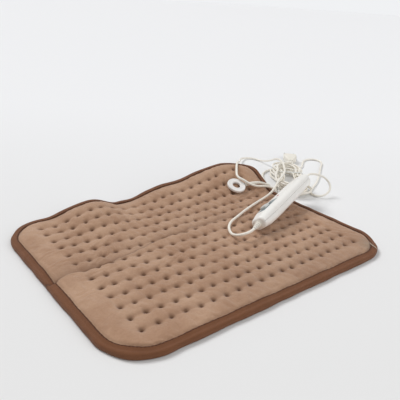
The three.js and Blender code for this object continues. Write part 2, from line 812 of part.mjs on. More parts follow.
function heatingWire() {
  const first = ELEMENT_MARGIN_COLUMNS;
  const last = TUFT_COLUMNS - 1 - ELEMENT_MARGIN_COLUMNS;
  const points = [];
  let forward = true;
  for (let row = ELEMENT_FIRST_ROW; row <= ELEMENT_LAST_ROW; row += ELEMENT_ROW_STEP) {
    const middleRow = row - 0.5;
    const run = [];
    for (let half = 2 * first; half <= 2 * last; half += 1) {
      run.push(bedPoint(half / 2, middleRow));
    }
    points.push(...(forward ? run : run.reverse()));
    if (row + ELEMENT_ROW_STEP <= ELEMENT_LAST_ROW) {
      const turnColumn = forward ? last + 0.5 : first - 0.5;
      for (let half = 1; half < 2 * ELEMENT_ROW_STEP; half += 1) {
        points.push(bedPoint(turnColumn, middleRow + half / 2));
      }
    }
    forward = !forward;
  }
  const wire = tube(withoutStraightPoints(points), ELEMENT_DIAMETER, ELEMENT_SIDES);
  return part("heating_wire", wire, ELEMENT);
}

// A frame that lies on the pad's slope at a place: x along the slope, z off the surface
function slopeFrame(x, y, height) {
  const reach = TUFT_PITCH_Y / 2;
  const slopeX = (lift(x + reach, y) - lift(x - reach, y)) / (2 * reach);
  const slopeY = (lift(x, y + reach) - lift(x, y - reach)) / (2 * reach);
  const normal = new THREE.Vector3(-slopeX, -slopeY, 1).normalize();
  const along = new THREE.Vector3(1, 0, slopeX).normalize();
  const across = normal.clone().cross(along);
  const place = new THREE.Vector3(x, y, lift(x, y) + height);
  return new THREE.Matrix4().makeBasis(along, across, normal).setPosition(place);
}

const BED_MIDDLE = (LOWER_WADDING_TOP + UPPER_WADDING_BOTTOM) / 2;

function capsule(length, width, height, clearance) {
  const shape = new THREE.Shape();
  const [halfLength, radius] = [length / 2 + clearance, width / 2 + clearance];
  shape.absarc(halfLength - radius, 0, radius, -Math.PI / 2, Math.PI / 2);
  shape.absarc(radius - halfLength, 0, radius, Math.PI / 2, 3 * Math.PI / 2);
  const depth = height + 2 * clearance;
  return new THREE.ExtrudeGeometry(shape, { depth, bevelEnabled: false, curveSegments: 6 })
    .translate(0, 0, -depth / 2);
}

function thermostatFrame() {
  return slopeFrame(...tuft(...THERMOSTAT_TUFT), BED_MIDDLE);
}

function spliceFrame() {
  return slopeFrame(...tuft(...SPLICE_TUFT), BED_MIDDLE);
}

function padInserts() {
  const thermostat = capsule(THERMOSTAT_LENGTH, THERMOSTAT_WIDTH, THERMOSTAT_HEIGHT, 0);
  const splice = capsule(SPLICE_LENGTH, SPLICE_WIDTH, SPLICE_HEIGHT, 0);
  return [
    part("thermostat", thermostat.applyMatrix4(thermostatFrame()), DARK_MOULDING),
    part("splice_capsule", splice.applyMatrix4(spliceFrame()), WHITE_PLASTIC),
  ];
}

function padPockets() {
  const clearance = POCKET_CLEARANCE;
  const thermostat = capsule(THERMOSTAT_LENGTH, THERMOSTAT_WIDTH, THERMOSTAT_HEIGHT, clearance);
  const splice = capsule(SPLICE_LENGTH, SPLICE_WIDTH, SPLICE_HEIGHT, clearance);
  return [solid(thermostat, thermostatFrame()), solid(splice, spliceFrame())];
}

// Solids of revolution about the z axis, from pairs of radius and height
function lathe(profile, segments) {
  const points = profile.map(([radius, height]) => new THREE.Vector2(radius, height));
  return new THREE.LatheGeometry(points, segments).rotateX(Math.PI / 2);
}

function vector([x, y, z]) {
  return new THREE.Vector3(x, y, z);
}

// Cord anchor ring and the sleeve that leads the cord away from it

function anchorFrame() {
  return slopeFrame(ANCHOR_X, ANCHOR_Y, ANCHOR_STANDOFF);
}

function anchorRing() {
  const [half, edge] = [ANCHOR_THICKNESS / 2, ANCHOR_EDGE_RADIUS];
  const corners = [
    [ANCHOR_RADIUS - edge, half - edge, 0], [ANCHOR_BORE_RADIUS + edge, half - edge, 1],
    [ANCHOR_BORE_RADIUS + edge, edge - half, 2], [ANCHOR_RADIUS - edge, edge - half, 3],
  ];
  const profile = corners.flatMap(([radius, height, quarter]) => [0, 1, 2].map((step) => {
    const angle = (quarter + step / 2) * Math.PI / 2;
    return [radius + edge * Math.cos(angle), height + edge * Math.sin(angle)];
  }));
  profile.push(profile[0]);
  const shape = lathe(profile, ANCHOR_SEGMENTS).applyMatrix4(anchorFrame());
  return part("cord_anchor_ring", shape, RING_PLASTIC);
}

// Circles square to a path of points, joined into a tapered body
function taperedTube(points, radii, sides) {
  const rings = points.map((point, k) => {
    const before = points[Math.max(k - 1, 0)];
    const after = points[Math.min(k + 1, points.length - 1)];
    const along = after.clone().sub(before).normalize();
    const side = along.clone().cross(UP).normalize();
    const top = side.clone().cross(along);
    return Array.from({ length: sides }, (_, n) => {
      const angle = (n + 0.5) / sides * 2 * Math.PI;
      return point.clone()
        .addScaledVector(side, radii[k] * Math.cos(angle))
        .addScaledVector(top, radii[k] * Math.sin(angle));
    });
  });
  return loft(rings);
}

function sleevePath() {
  const frame = anchorFrame();
  const out = new THREE.Vector3(Math.cos(SLEEVE_TURN), Math.sin(SLEEVE_TURN), 0)
    .transformDirection(frame);
  const start = new THREE.Vector3().applyMatrix4(frame).addScaledVector(out, ANCHOR_RADIUS + GAP);
  const leave = start.clone().addScaledVector(out, SLEEVE_STRAIGHT);
  const points = [start, leave, ...SLEEVE_ROUTE.map(vector)];
  const along = points[points.length - 1].clone().sub(points[points.length - 2]).normalize();
  return { points, along };
}

function sleeve() {
  const { points } = sleevePath();
  const last = points.length - 1;
  const radii = points.map((_, k) => lerp(SLEEVE_ROOT_RADIUS, SLEEVE_TIP_RADIUS, k / last));
  return part("pad_sleeve", taperedTube(points, radii, SLEEVE_SIDES), SOFT_VINYL);
}

// Controller: u runs along the body, v across it and w out of its front
const BODY_ALONG = vector(BODY_AIM).sub(vector(BODY_NEAR)).normalize();
const BODY_LEVEL = new THREE.Vector3(-BODY_ALONG.y, BODY_ALONG.x, 0).normalize();
const BODY_FRONT = BODY_ALONG.clone().cross(BODY_LEVEL)
  .multiplyScalar(Math.cos(BODY_ROLL))
  .addScaledVector(BODY_LEVEL, Math.sin(BODY_ROLL));
const BODY_ACROSS = BODY_FRONT.clone().cross(BODY_ALONG);
const BODY_FRAME = new THREE.Matrix4()
  .makeBasis(BODY_ALONG, BODY_ACROSS, BODY_FRONT)
  .setPosition(vector(BODY_NEAR));
const FRONT_FACE = BODY_THICKNESS / 2;
const CAVITY_FACE = FRONT_FACE - BODY_WALL;

function inBody(name, geometry, material) {
  return part(name, geometry.applyMatrix4(BODY_FRAME), material);
}

function bodySection(u, inset, cornerInset) {
  const nearWidth = lerp(BODY_NEAR_SHARE, 1, smooth(u, 0, BODY_NEAR_TAPER));
  const far = lerp(1, BODY_FAR_SHARE, smooth(u, BODY_LENGTH - BODY_FAR_TAPER, BODY_LENGTH));
  const nose = lerp(BODY_NOSE_SHARE, 1, smooth(u, 0, BODY_NOSE_TAPER));
  const halfWidth = BODY_WIDTH / 2 * nearWidth * far - inset;
  const halfThickness = BODY_THICKNESS / 2 * nose * far - inset;
  const radius = Math.min(BODY_CORNER_RADIUS - cornerInset, halfThickness - GAP);
  const points = [];
  for (let corner = 0; corner < 4; corner += 1) {
    const [signV, signW] = [corner === 0 || corner === 3 ? 1 : -1, corner < 2 ? 1 : -1];
    for (let step = 0; step <= BODY_CORNER_STEPS; step += 1) {
      const angle = (corner + step / BODY_CORNER_STEPS) * Math.PI / 2;
      points.push(new THREE.Vector3(
        u,
        signV * (halfWidth - radius) + radius * Math.cos(angle),
        signW * (halfThickness - radius) + radius * Math.sin(angle),
      ));
    }
  }
  return points;
}

// A body following the controller's outside at an inset, with rounded ends
function bodyLoft(inset, endRadius) {
  const [from, to] = [inset, BODY_LENGTH - inset];
  const depths = [0, 0.3 * endRadius, endRadius];
  const middles = Math.round((to - from) / BODY_STATION);
  const rounding = (depth) => endRadius - Math.sqrt(endRadius ** 2 - (endRadius - depth) ** 2);
  const stations = [
    ...depths.map((depth) => [from + depth, rounding(depth)]),
    ...Array.from({ length: middles - 1 }, (_, k) => [lerp(from, to, (k + 1) / middles), 0]),
    ...depths.map((depth) => [to - depth, rounding(depth)]).reverse(),
  ];
  const corner = Math.min(inset, BODY_WALL);
  return loft(stations.map(([u, round]) => bodySection(u, inset + round, corner + round)));
}

function alongBody(radius, from, to) {
  return new THREE.CylinderGeometry(radius, radius, to - from, ROUND_SEGMENTS)
    .rotateZ(-Math.PI / 2)
    .translate((from + to) / 2, 0, 0);
}

function shells() {
  const outer = solid(bodyLoft(0, BODY_END_RADIUS));
  const cavity = solid(bodyLoft(BODY_WALL, BODY_CAVITY_END_RADIUS));
  const skin = solid(bodyLoft(BODY_WALL / 2, BODY_CAVITY_END_RADIUS));
  const half = (sign) => solid(box(
    BODY_LENGTH + 2 * CUT_OVERRUN, 2 * BODY_WIDTH, BODY_THICKNESS,
    BODY_LENGTH / 2, 0, sign * (BODY_THICKNESS / 2 + GAP / 2),
  ));
  const necks = [
    alongBody(RELIEF_NECK_RADIUS + GAP, -CUT_OVERRUN, BODY_WALL + CUT_OVERRUN),
    alongBody(
      RELIEF_NECK_RADIUS + GAP, BODY_LENGTH - BODY_WALL - CUT_OVERRUN, BODY_LENGTH + CUT_OVERRUN,
    ),
  ].map((geometry) => solid(geometry));
  const shell = (sign) => necks.reduce(
    (body, neck) => body.subtract(neck),
    outer.subtract(cavity).intersect(half(sign)),
  );
  let front = shell(1);
  let back = shell(-1);
  const headBottom = SCREW_HEAD_TOP + SCREW_HEAD_HEIGHT;
  SCREW_PLACES.forEach((u) => {
    const frontRadius = SCREW_SHANK_RADIUS + GAP + BOSS_WALL;
    const backRadius = SCREW_HEAD_RADIUS + GAP + BOSS_WALL;
    const frontBoss = solid(post(frontRadius, GAP / 2, FRONT_FACE, u, 0));
    const backBoss = solid(post(backRadius, -FRONT_FACE, -GAP / 2, u, 0));
    front = front.add(frontBoss.intersect(skin));
    front = front.subtract(solid(post(SCREW_SHANK_RADIUS + GAP, -CUT_OVERRUN, SCREW_TIP + GAP, u, 0)));
    back = back.add(backBoss.intersect(skin));
    back = back.subtract(solid(post(SCREW_SHANK_RADIUS + GAP, -FRONT_FACE, CUT_OVERRUN, u, 0)));
    back = back.subtract(solid(post(
      SCREW_HEAD_RADIUS + GAP, -FRONT_FACE - CUT_OVERRUN, headBottom + GAP, u, 0,
    )));
  });
  POST_SHARES.forEach((share) => {
    [-POST_SPREAD, POST_SPREAD].forEach((v) => {
      const [u, top] = [share * BODY_LENGTH, BOARD_TOP - BOARD_THICKNESS - GAP];
      back = back.add(solid(post(POST_RADIUS, -FRONT_FACE, top, u, v)).intersect(skin));
    });
  });
  const recess = box(
    SCALE_LENGTH + 2 * GAP, SCALE_WIDTH + 2 * GAP, RECESS_DEPTH + CUT_OVERRUN,
    SWITCH_CENTRE, 0, FRONT_FACE + (CUT_OVERRUN - RECESS_DEPTH) / 2,
  );
  front = front.subtract(solid(recess)).subtract(slotCut());
  const lensHole = post(
    LENS_RADIUS + GAP, CAVITY_FACE - CUT_OVERRUN, FRONT_FACE + CUT_OVERRUN, LENS_CENTRE, 0,
  );
  front = front.subtract(solid(lensHole));
  return [
    inBody("front_shell", geometryOf(front), WHITE_PLASTIC),
    inBody("back_shell", geometryOf(back), WHITE_PLASTIC),
  ];
}

function slotCut() {
  return solid(box(
    STEM_LENGTH + SLIDER_TRAVEL + 4 * GAP, STEM_WIDTH + 2 * GAP, 2 * BODY_WALL,
    SWITCH_CENTRE, 0, FRONT_FACE - BODY_WALL / 2,
  ));
}

function scalePlate() {
  const plate = solid(box(
    SCALE_LENGTH, SCALE_WIDTH, SCALE_PLATE,
    SWITCH_CENTRE, 0, FRONT_FACE - RECESS_DEPTH + GAP + SCALE_PLATE / 2,
  ));
  return inBody("scale_plate", geometryOf(plate.subtract(slotCut())), SCALE_GREY);
}

// The knob at its off position, at the near end of its travel
function sliderKnob() {
  const u = SWITCH_CENTRE - SLIDER_TRAVEL / 2;
  const bottom = FRONT_FACE - RECESS_DEPTH + GAP + SCALE_PLATE + GAP;
  const footTop = CAVITY_FACE - GAP;
  const pad = solid(box(KNOB_LENGTH, KNOB_WIDTH, KNOB_HEIGHT, u, 0, bottom + KNOB_HEIGHT / 2));
  const foot = solid(box(
    KNOB_FOOT_LENGTH, KNOB_FOOT_WIDTH, KNOB_FOOT_THICKNESS,
    u, 0, footTop - KNOB_FOOT_THICKNESS / 2,
  ));
  const stemBottom = footTop - KNOB_FOOT_THICKNESS / 2;
  const stemTop = bottom + KNOB_HEIGHT / 2;
  const stem = solid(box(
    STEM_LENGTH, STEM_WIDTH, stemTop - stemBottom, u, 0, (stemTop + stemBottom) / 2,
  ));
  let knob = pad.add(stem).add(foot);
  const pitch = KNOB_LENGTH / (KNOB_RIB_COUNT + 1);
  for (let k = 1; k <= KNOB_RIB_COUNT; k += 1) {
    knob = knob.subtract(solid(box(
      pitch / 2, KNOB_WIDTH + CUT_OVERRUN, 2 * KNOB_RIB_DEPTH,
      u - KNOB_LENGTH / 2 + k * pitch, 0, bottom + KNOB_HEIGHT,
    )));
  }
  return inBody("slider_knob", geometryOf(knob), KNOB_PLASTIC);
}

function controllerInside() {
  const board = BOARD_TOP - BOARD_THICKNESS / 2;
  const seat = BOARD_TOP + GAP;
  const onBoard = ([length, width, height], share) => box(
    length, width, height, share * BODY_LENGTH, 0, seat + height / 2,
  );
  const switchTop = CAVITY_FACE - GAP - KNOB_FOOT_THICKNESS - GAP;
  const lensTop = CAVITY_FACE - GAP;
  const lens = [
    [0, lensTop - LENS_FLANGE_THICKNESS], [LENS_RADIUS + LENS_FLANGE, lensTop - LENS_FLANGE_THICKNESS],
    [LENS_RADIUS + LENS_FLANGE, lensTop], [LENS_RADIUS, lensTop], [LENS_RADIUS, FRONT_FACE],
    [LENS_RADIUS / 2, FRONT_FACE + LENS_PROUD], [0, FRONT_FACE + LENS_PROUD],
  ];
  const lampTop = lensTop - LENS_FLANGE_THICKNESS - GAP;
  const lamp = [
    [0, seat], [LAMP_RADIUS, seat], [LAMP_RADIUS, lampTop - LAMP_RADIUS],
    [LAMP_RADIUS * Math.SQRT1_2, lampTop - LAMP_RADIUS + LAMP_RADIUS * Math.SQRT1_2], [0, lampTop],
  ];
  const fuse = new THREE.CylinderGeometry(FUSE_RADIUS, FUSE_RADIUS, FUSE_LENGTH, ROUND_SEGMENTS)
    .translate(FUSE_SHARE * BODY_LENGTH, 0, seat + FUSE_RADIUS);
  return [
    inBody("circuit_board", box(
      BOARD_END - BOARD_START, BOARD_WIDTH, BOARD_THICKNESS, (BOARD_START + BOARD_END) / 2, 0, board,
    ), BOARD_GREEN),
    inBody("switch_body", box(
      SWITCH_BODY_LENGTH, SWITCH_BODY_WIDTH, switchTop - seat, SWITCH_CENTRE, 0, (switchTop + seat) / 2,
    ), DARK_MOULDING),
    inBody("indicator_lens", lathe(lens, ROUND_SEGMENTS).translate(LENS_CENTRE, 0, 0), RED_LENS),
    inBody("indicator_lamp", lathe(lamp, ROUND_SEGMENTS).translate(LENS_CENTRE, 0, 0), GLASS_BODY),
    inBody("control_chip", onBoard(CHIP, CHIP_SHARE), DARK_MOULDING),
    inBody("film_capacitor", onBoard(FILM_CAPACITOR, FILM_CAPACITOR_SHARE), BLUE_MOULDING),
    inBody("triac", onBoard(TRIAC, TRIAC_SHARE), DARK_MOULDING),
    inBody("electrolytic", post(
      ELECTROLYTIC_RADIUS, seat, seat + ELECTROLYTIC_LENGTH, ELECTROLYTIC_SHARE * BODY_LENGTH, 0,
    ), DARK_MOULDING),
    inBody("fuse", fuse, GLASS_BODY),
  ];
}

function screws() {
  const [top, bottom] = [SCREW_HEAD_TOP, SCREW_HEAD_TOP + SCREW_HEAD_HEIGHT];
  const profile = [
    [0, top], [SCREW_HEAD_RADIUS, top], [SCREW_HEAD_RADIUS, bottom], [SCREW_SHANK_RADIUS, bottom],
    [SCREW_SHANK_RADIUS, SCREW_TIP - SCREW_SHANK_RADIUS], [0, SCREW_TIP],
  ];
  return SCREW_PLACES.map((u, k) => inBody(
    ["screw_near", "screw_far"][k],
    lathe(profile, RELIEF_SEGMENTS).translate(u, 0, 0),
    STEEL,
  ));
}

// A ribbed strain relief along +Z: a neck through the wall and a tapered tail to its tip
function reliefGeometry({ length, root, ribs }, neck, flanged) {
  const profile = [[0, -neck]];
  if (flanged) {
    profile.push([RELIEF_FLANGE_RADIUS, -neck], [RELIEF_FLANGE_RADIUS, RELIEF_FLANGE_THICKNESS - neck]);
    profile.push([RELIEF_NECK_RADIUS, RELIEF_FLANGE_THICKNESS - neck]);
  } else {
    profile.push([RELIEF_NECK_RADIUS, -neck]);
  }
  profile.push([RELIEF_NECK_RADIUS, 0], [root, 0]);
  const pitch = length / (ribs + 1);
  const radiusAt = (height) => lerp(root, RELIEF_TIP_RADIUS, height / length);
  for (let k = 1; k <= ribs; k += 1) {
    const [low, high] = [(k - 0.25) * pitch, (k + 0.25) * pitch];
    profile.push([radiusAt(low), low], [radiusAt(low) - RELIEF_RIB_DEPTH, low]);
    profile.push([radiusAt(high) - RELIEF_RIB_DEPTH, high], [radiusAt(high), high]);
  }
  profile.push([RELIEF_TIP_RADIUS, length], [0, length]);
  return lathe(profile, RELIEF_SEGMENTS);
}

const FLANGED_NECK = GAP + BODY_WALL + GAP + RELIEF_FLANGE_THICKNESS;
const NEAR_RELIEF_FRAME = BODY_FRAME.clone().multiply(at(-GAP, 0, 0))
  .multiply(new THREE.Matrix4().makeRotationY(-Math.PI / 2));
const FAR_RELIEF_FRAME = BODY_FRAME.clone().multiply(at(BODY_LENGTH + GAP, 0, 0))
  .multiply(new THREE.Matrix4().makeRotationY(Math.PI / 2));
const PLUG_FRAME = new THREE.Matrix4().makeRotationZ(PLUG_TURN).setPosition(vector(PLUG_REAR));
const PLUG_RELIEF_FRAME = PLUG_FRAME.clone().multiply(at(-GAP, 0, 0))
  .multiply(new THREE.Matrix4().makeRotationY(-Math.PI / 2));

function reliefs() {
  const near = reliefGeometry(NEAR_RELIEF, FLANGED_NECK, true).applyMatrix4(NEAR_RELIEF_FRAME);
  const far = reliefGeometry(FAR_RELIEF, FLANGED_NECK, true).applyMatrix4(FAR_RELIEF_FRAME);
  const plug = reliefGeometry(PLUG_RELIEF, PLUG_NECK, false).applyMatrix4(PLUG_RELIEF_FRAME);
  return [
    part("near_relief", near, SOFT_VINYL),
    part("far_relief", far, SOFT_VINYL),
    part("plug_relief", plug, SOFT_VINYL),
  ];
}

// The place and direction in which a cord leaves a relief's tip
function reliefTip({ length }, frame) {
  return {
    point: new THREE.Vector3(0, 0, length).applyMatrix4(frame),
    along: new THREE.Vector3(0, 0, 1).transformDirection(frame),
  };
}

// Wires from the cords' ends to the board, one on each side of the screw bosses
function innerWires() {
  const height = BOARD_TOP + GAP + WIRE_DIAMETER / 2;
  const nearEnd = BODY_WALL + GAP + RELIEF_FLANGE_THICKNESS + GAP;
  const ends = [
    ["near_wire", nearEnd, SCREW_PLACES[0], BOARD_START + WIRE_LANDING],
    ["far_wire", BODY_LENGTH - nearEnd, SCREW_PLACES[1], BOARD_END - WIRE_LANDING],
  ];
  return ends.flatMap(([name, start, boss, end]) => [[1, "a"], [-1, "b"]].map(([side, mark]) => {
    const step = Math.sign(end - start);
    const points = [
      [start, side * WIRE_SPREAD, 0],
      [start + step * WIRE_DIAMETER, side * WIRE_SPREAD, 0],
      [boss - step * 2 * WIRE_DIAMETER, side * WIRE_BYPASS, 0],
      [boss + step * 2 * WIRE_DIAMETER, side * WIRE_BYPASS, height / 2],
      [end - step * 2 * WIRE_DIAMETER, side * WIRE_PAD_SPREAD, height],
      [end, side * WIRE_PAD_SPREAD, height],
    ].map(vector);
    return inBody(`${name}_${mark}`, tube(points, WIRE_DIAMETER, WIRE_SIDES), SOFT_VINYL);
  }));
}

// Mains plug

function plugSection(x, inset) {
  const width = lerp(PLUG_REAR_WIDTH, PLUG_FRONT_WIDTH, smooth(x, 0, PLUG_SHOULDER));
  const thickness = lerp(PLUG_REAR_THICKNESS, PLUG_THICKNESS, smooth(x, 0, PLUG_SHOULDER));
  const [halfWidth, halfThickness] = [width / 2 - inset, thickness / 2 - inset];
  const radius = PLUG_CORNER_RADIUS - inset;
  const points = [];
  for (let corner = 0; corner < 4; corner += 1) {
    const [signY, signZ] = [corner === 0 || corner === 3 ? 1 : -1, corner < 2 ? 1 : -1];
    for (let step = 0; step <= PLUG_CORNER_STEPS; step += 1) {
      const angle = (corner + step / PLUG_CORNER_STEPS) * Math.PI / 2;
      points.push(new THREE.Vector3(
        x,
        signY * (halfWidth - radius) + radius * Math.cos(angle),
        signZ * (halfThickness - radius) + radius * Math.sin(angle),
      ));
    }
  }
  return points;
}

function pinFrame(side) {
  const lean = Math.atan2((PIN_SPACING - PIN_TIP_SPACING) / 2, PIN_LENGTH);
  return PLUG_FRAME.clone()
    .multiply(at(PLUG_LENGTH, side * PIN_SPACING / 2, 0))
    .multiply(new THREE.Matrix4().makeRotationZ(-side * lean))
    .multiply(new THREE.Matrix4().makeRotationY(Math.PI / 2));
}

function plug() {
  const stations = [
    [0, PLUG_EDGE], [PLUG_EDGE, 0], [PLUG_SHOULDER / 3, 0], [PLUG_SHOULDER * 2 / 3, 0],
    [PLUG_SHOULDER, 0], [PLUG_LENGTH - PLUG_EDGE, 0], [PLUG_LENGTH, PLUG_EDGE],
  ];
  let body = solid(loft(stations.map(([x, inset]) => plugSection(x, inset))), PLUG_FRAME);
  const neckBore = post(RELIEF_NECK_RADIUS + GAP, -PLUG_NECK - GAP, CUT_OVERRUN, 0, 0);
  body = body.subtract(solid(neckBore, PLUG_RELIEF_FRAME));
  [1, -1].forEach((side) => {
    const bore = post(PIN_RADIUS + GAP, -PIN_SEAT - GAP, CUT_OVERRUN, 0, 0);
    body = body.subtract(solid(bore, pinFrame(side)));
  });
  const pin = [
    [0, -PIN_SEAT], [PIN_RADIUS, -PIN_SEAT], [PIN_RADIUS, PIN_LENGTH - PIN_RADIUS],
    [PIN_RADIUS * Math.SQRT1_2, PIN_LENGTH - PIN_RADIUS + PIN_RADIUS * Math.SQRT1_2], [0, PIN_LENGTH],
  ];
  return [
    part("plug_body", geometryOf(body), SOFT_VINYL),
    part("pin_left", lathe(pin, RELIEF_SEGMENTS).applyMatrix4(pinFrame(1)), NICKEL),
    part("pin_right", lathe(pin, RELIEF_SEGMENTS).applyMatrix4(pinFrame(-1)), NICKEL),
  ];
}

// Hank: wound in its own frame, x along its runs, and turned into place
const HANK_FRAME = new THREE.Matrix4().makeRotationZ(HANK_TURN)
  .setPosition(HANK_CENTRE[0], HANK_CENTRE[1], HANK_START);
const HANK_LOOP_STEPS = 2 * (HANK_RUN_STEPS + HANK_FOLD_STEPS);

function waist(x) {
  const reach = Math.min(Math.abs(x), HANK_RUN / 2) / HANK_WAIST_REACH;
  return 1 - HANK_WAIST_SHARE * Math.exp(-reach * reach);
}

function hankPoint(step) {
  const loops = step / HANK_LOOP_STEPS;
  const layerIndex = Math.min(Math.floor(loops / HANK_LOOPS), HANK_LAYERS - 1);
  const within = loops - layerIndex * HANK_LOOPS;
  const outward = layerIndex % 2 === 0 ? HANK_LOOPS - within : within;
  const radius = HANK_INNER_RADIUS + HANK_STEP * outward;
  const phase = Math.min(within * HANK_LOOP_STEPS, HANK_LOOPS * HANK_LOOP_STEPS) % HANK_LOOP_STEPS;
  const climb = layerIndex > 0 && within * HANK_LOOP_STEPS < HANK_RUN_STEPS
    ? smooth(within * HANK_LOOP_STEPS, 0, HANK_RUN_STEPS) - 1
    : 0;
  const z = HANK_RISE * (layerIndex + climb);
  const half = HANK_RUN_STEPS + HANK_FOLD_STEPS;
  const side = phase < half ? 1 : -1;
  const inHalf = phase % half;
  if (inHalf < HANK_RUN_STEPS) {
    const x = side * HANK_RUN * (inHalf / HANK_RUN_STEPS - 0.5);
    return new THREE.Vector3(x, side * radius * waist(x), z);
  }
  const angle = (inHalf - HANK_RUN_STEPS) / HANK_FOLD_STEPS * Math.PI;
  const fold = radius * waist(HANK_RUN);
  return new THREE.Vector3(
    side * (HANK_RUN / 2 + fold * Math.sin(angle)),
    side * fold * Math.cos(angle),
    z,
  );
}

function hankPath() {
  const steps = HANK_LAYERS * HANK_LOOPS * HANK_LOOP_STEPS;
  const points = Array.from({ length: steps + 1 }, (_, k) => hankPoint(k));
  points.unshift(points[0].clone().add(new THREE.Vector3(-CORD_DIAMETER, 0, 0)));
  points.push(points[points.length - 1].clone().add(new THREE.Vector3(CORD_DIAMETER, 0, 0)));
  return points.map((point) => point.applyMatrix4(HANK_FRAME));
}

// The closest that two stretches of the wound cord come, face to face
function leastSelfGap(points) {
  const line = [];
  const fine = 4;
  let run = 0;
  for (let k = 0; k + 1 < points.length; k += 1) {
    const length = points[k].distanceTo(points[k + 1]);
    for (let n = 0; n < fine; n += 1) {
      const point = points[k].clone().lerp(points[k + 1], n / fine);
      line.push({ point, run: run + length * n / fine });
    }
    run += length;
  }
  let least = Infinity;
  for (let a = 0; a < line.length; a += 1) {
    for (let b = a + 1; b < line.length; b += 1) {
      if (line[b].run - line[a].run > 4 * CORD_DIAMETER) {
        least = Math.min(least, line[a].point.distanceTo(line[b].point));
      }
    }
  }
  return { least: least - CORD_DIAMETER, length: run };
}

function cableTie() {
  const clear = CORD_DIAMETER / 2 + TIE_CLEARANCE;
  const halfWidth = (HANK_INNER_RADIUS + HANK_STEP * HANK_LOOPS) * waist(0) + clear;
  const low = -clear;
  const high = HANK_RISE * (HANK_LAYERS - 1) + clear;
  const outline = (grow, shape) => {
    const [right, top, bottom] = [halfWidth + grow, high + grow, low - grow];
    const radius = TIE_CORNER_RADIUS + grow;
    shape.moveTo(right - radius, bottom);
    shape.absarc(right - radius, bottom + radius, radius, -Math.PI / 2, 0);
    shape.absarc(right - radius, top - radius, radius, 0, Math.PI / 2);
    shape.absarc(radius - right, top - radius, radius, Math.PI / 2, Math.PI);
    shape.absarc(radius - right, bottom + radius, radius, Math.PI, 3 * Math.PI / 2);
    return shape;
  };
  const band = outline(TIE_THICKNESS, new THREE.Shape());
  band.holes.push(outline(0, new THREE.Path()));
  const options = { depth: TIE_WIDTH, bevelEnabled: false, curveSegments: 3 };
  const geometry = new THREE.ExtrudeGeometry(band, options)
    .translate(0, 0, -TIE_WIDTH / 2)
    .applyMatrix4(new THREE.Matrix4().makeBasis(
      new THREE.Vector3(0, 1, 0),
      new THREE.Vector3(0, 0, 1),
      new THREE.Vector3(1, 0, 0),
    ));
  return part("cable_tie", geometry.applyMatrix4(HANK_FRAME), CLEAR_TIE);
}

// A free cord: straight for one diameter at both ends, a small gap off what it meets
function cordPoints(start, route, end) {
  const off = (from, reach) => from.point.clone().addScaledVector(from.along, reach);
  return [
    off(start, GAP), off(start, GAP + CORD_DIAMETER),
    ...route.map(vector),
    off(end, GAP + CORD_DIAMETER), off(end, GAP),
  ];
}

function tightestBend(points) {
  let least = Infinity;
  for (let k = 1; k + 1 < points.length; k += 1) {
    const [a, b] = [points[k].clone().sub(points[k - 1]), points[k + 1].clone().sub(points[k])];
    least = Math.min(least, (a.length() + b.length()) / 2 / a.angleTo(b));
  }
  return least;
}

function cords() {
  const hank = hankPath();
  const along = new THREE.Vector3(1, 0, 0).transformDirection(HANK_FRAME);
  const bottomEnd = { point: hank[0], along: along.clone().negate() };
  const topEnd = { point: hank[hank.length - 1], along };
  const sleeveEnd = sleevePath();
  const sleeveTip = { point: sleeveEnd.points[sleeveEnd.points.length - 1], along: sleeveEnd.along };
  const routes = {
    pad_cord: cordPoints(sleeveTip, PAD_CORD_ROUTE, reliefTip(FAR_RELIEF, FAR_RELIEF_FRAME)),
    mains_cord: cordPoints(reliefTip(NEAR_RELIEF, NEAR_RELIEF_FRAME), MAINS_CORD_ROUTE, bottomEnd),
    plug_cord: cordPoints(topEnd, PLUG_CORD_ROUTE, reliefTip(PLUG_RELIEF, PLUG_RELIEF_FRAME)),
  };
  Object.entries(routes).forEach(([name, points]) => {
    const lengths = points.slice(1).map((point, k) => point.distanceTo(points[k]));
    const length = lengths.reduce((sum, step) => sum + step, 0);
    console.log(`${name}: ${length.toFixed(0)} long, tightest bend ${tightestBend(points).toFixed(1)}`);
  });
  const gap = leastSelfGap(hank);
  console.log(`mains_hank: ${gap.length.toFixed(0)} long, least gap to itself ${gap.least.toFixed(2)}`);
  return [
    ...Object.entries(routes).map(([name, points]) => part(
      name, tube(points, CORD_DIAMETER, CORD_SIDES), SOFT_VINYL,
    )),
    part("mains_hank", tube(hank, CORD_DIAMETER, HANK_SIDES), SOFT_VINYL),
  ];
}

const object = new THREE.Group();
object.name = "heating_pad";
object.add(
  topCover(), bottomCover(), ...waddings(padPockets()), edgeBinding(), heatingWire(), ...padInserts(),
  anchorRing(), sleeve(), ...shells(), scalePlate(), sliderKnob(), ...controllerInside(), ...screws(),
  ...reliefs(), ...innerWires(), ...plug(), ...cords(), cableTie(),
);
export default object;
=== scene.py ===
"""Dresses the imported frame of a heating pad: plush quilting and edge tape, the hand
controller, its cords and plug, and the studio around them.

Lengths are in millimetres in the row frame, and a mesh is written in metres. Where a
function takes only x and y, they are places in the pad's plan.
"""

import json
import logging
import math
from dataclasses import dataclass, field
from enum import Enum
from typing import Callable, Sequence

import bpy
import numpy as np
from mathutils import Matrix, Vector
from numpy.typing import NDArray

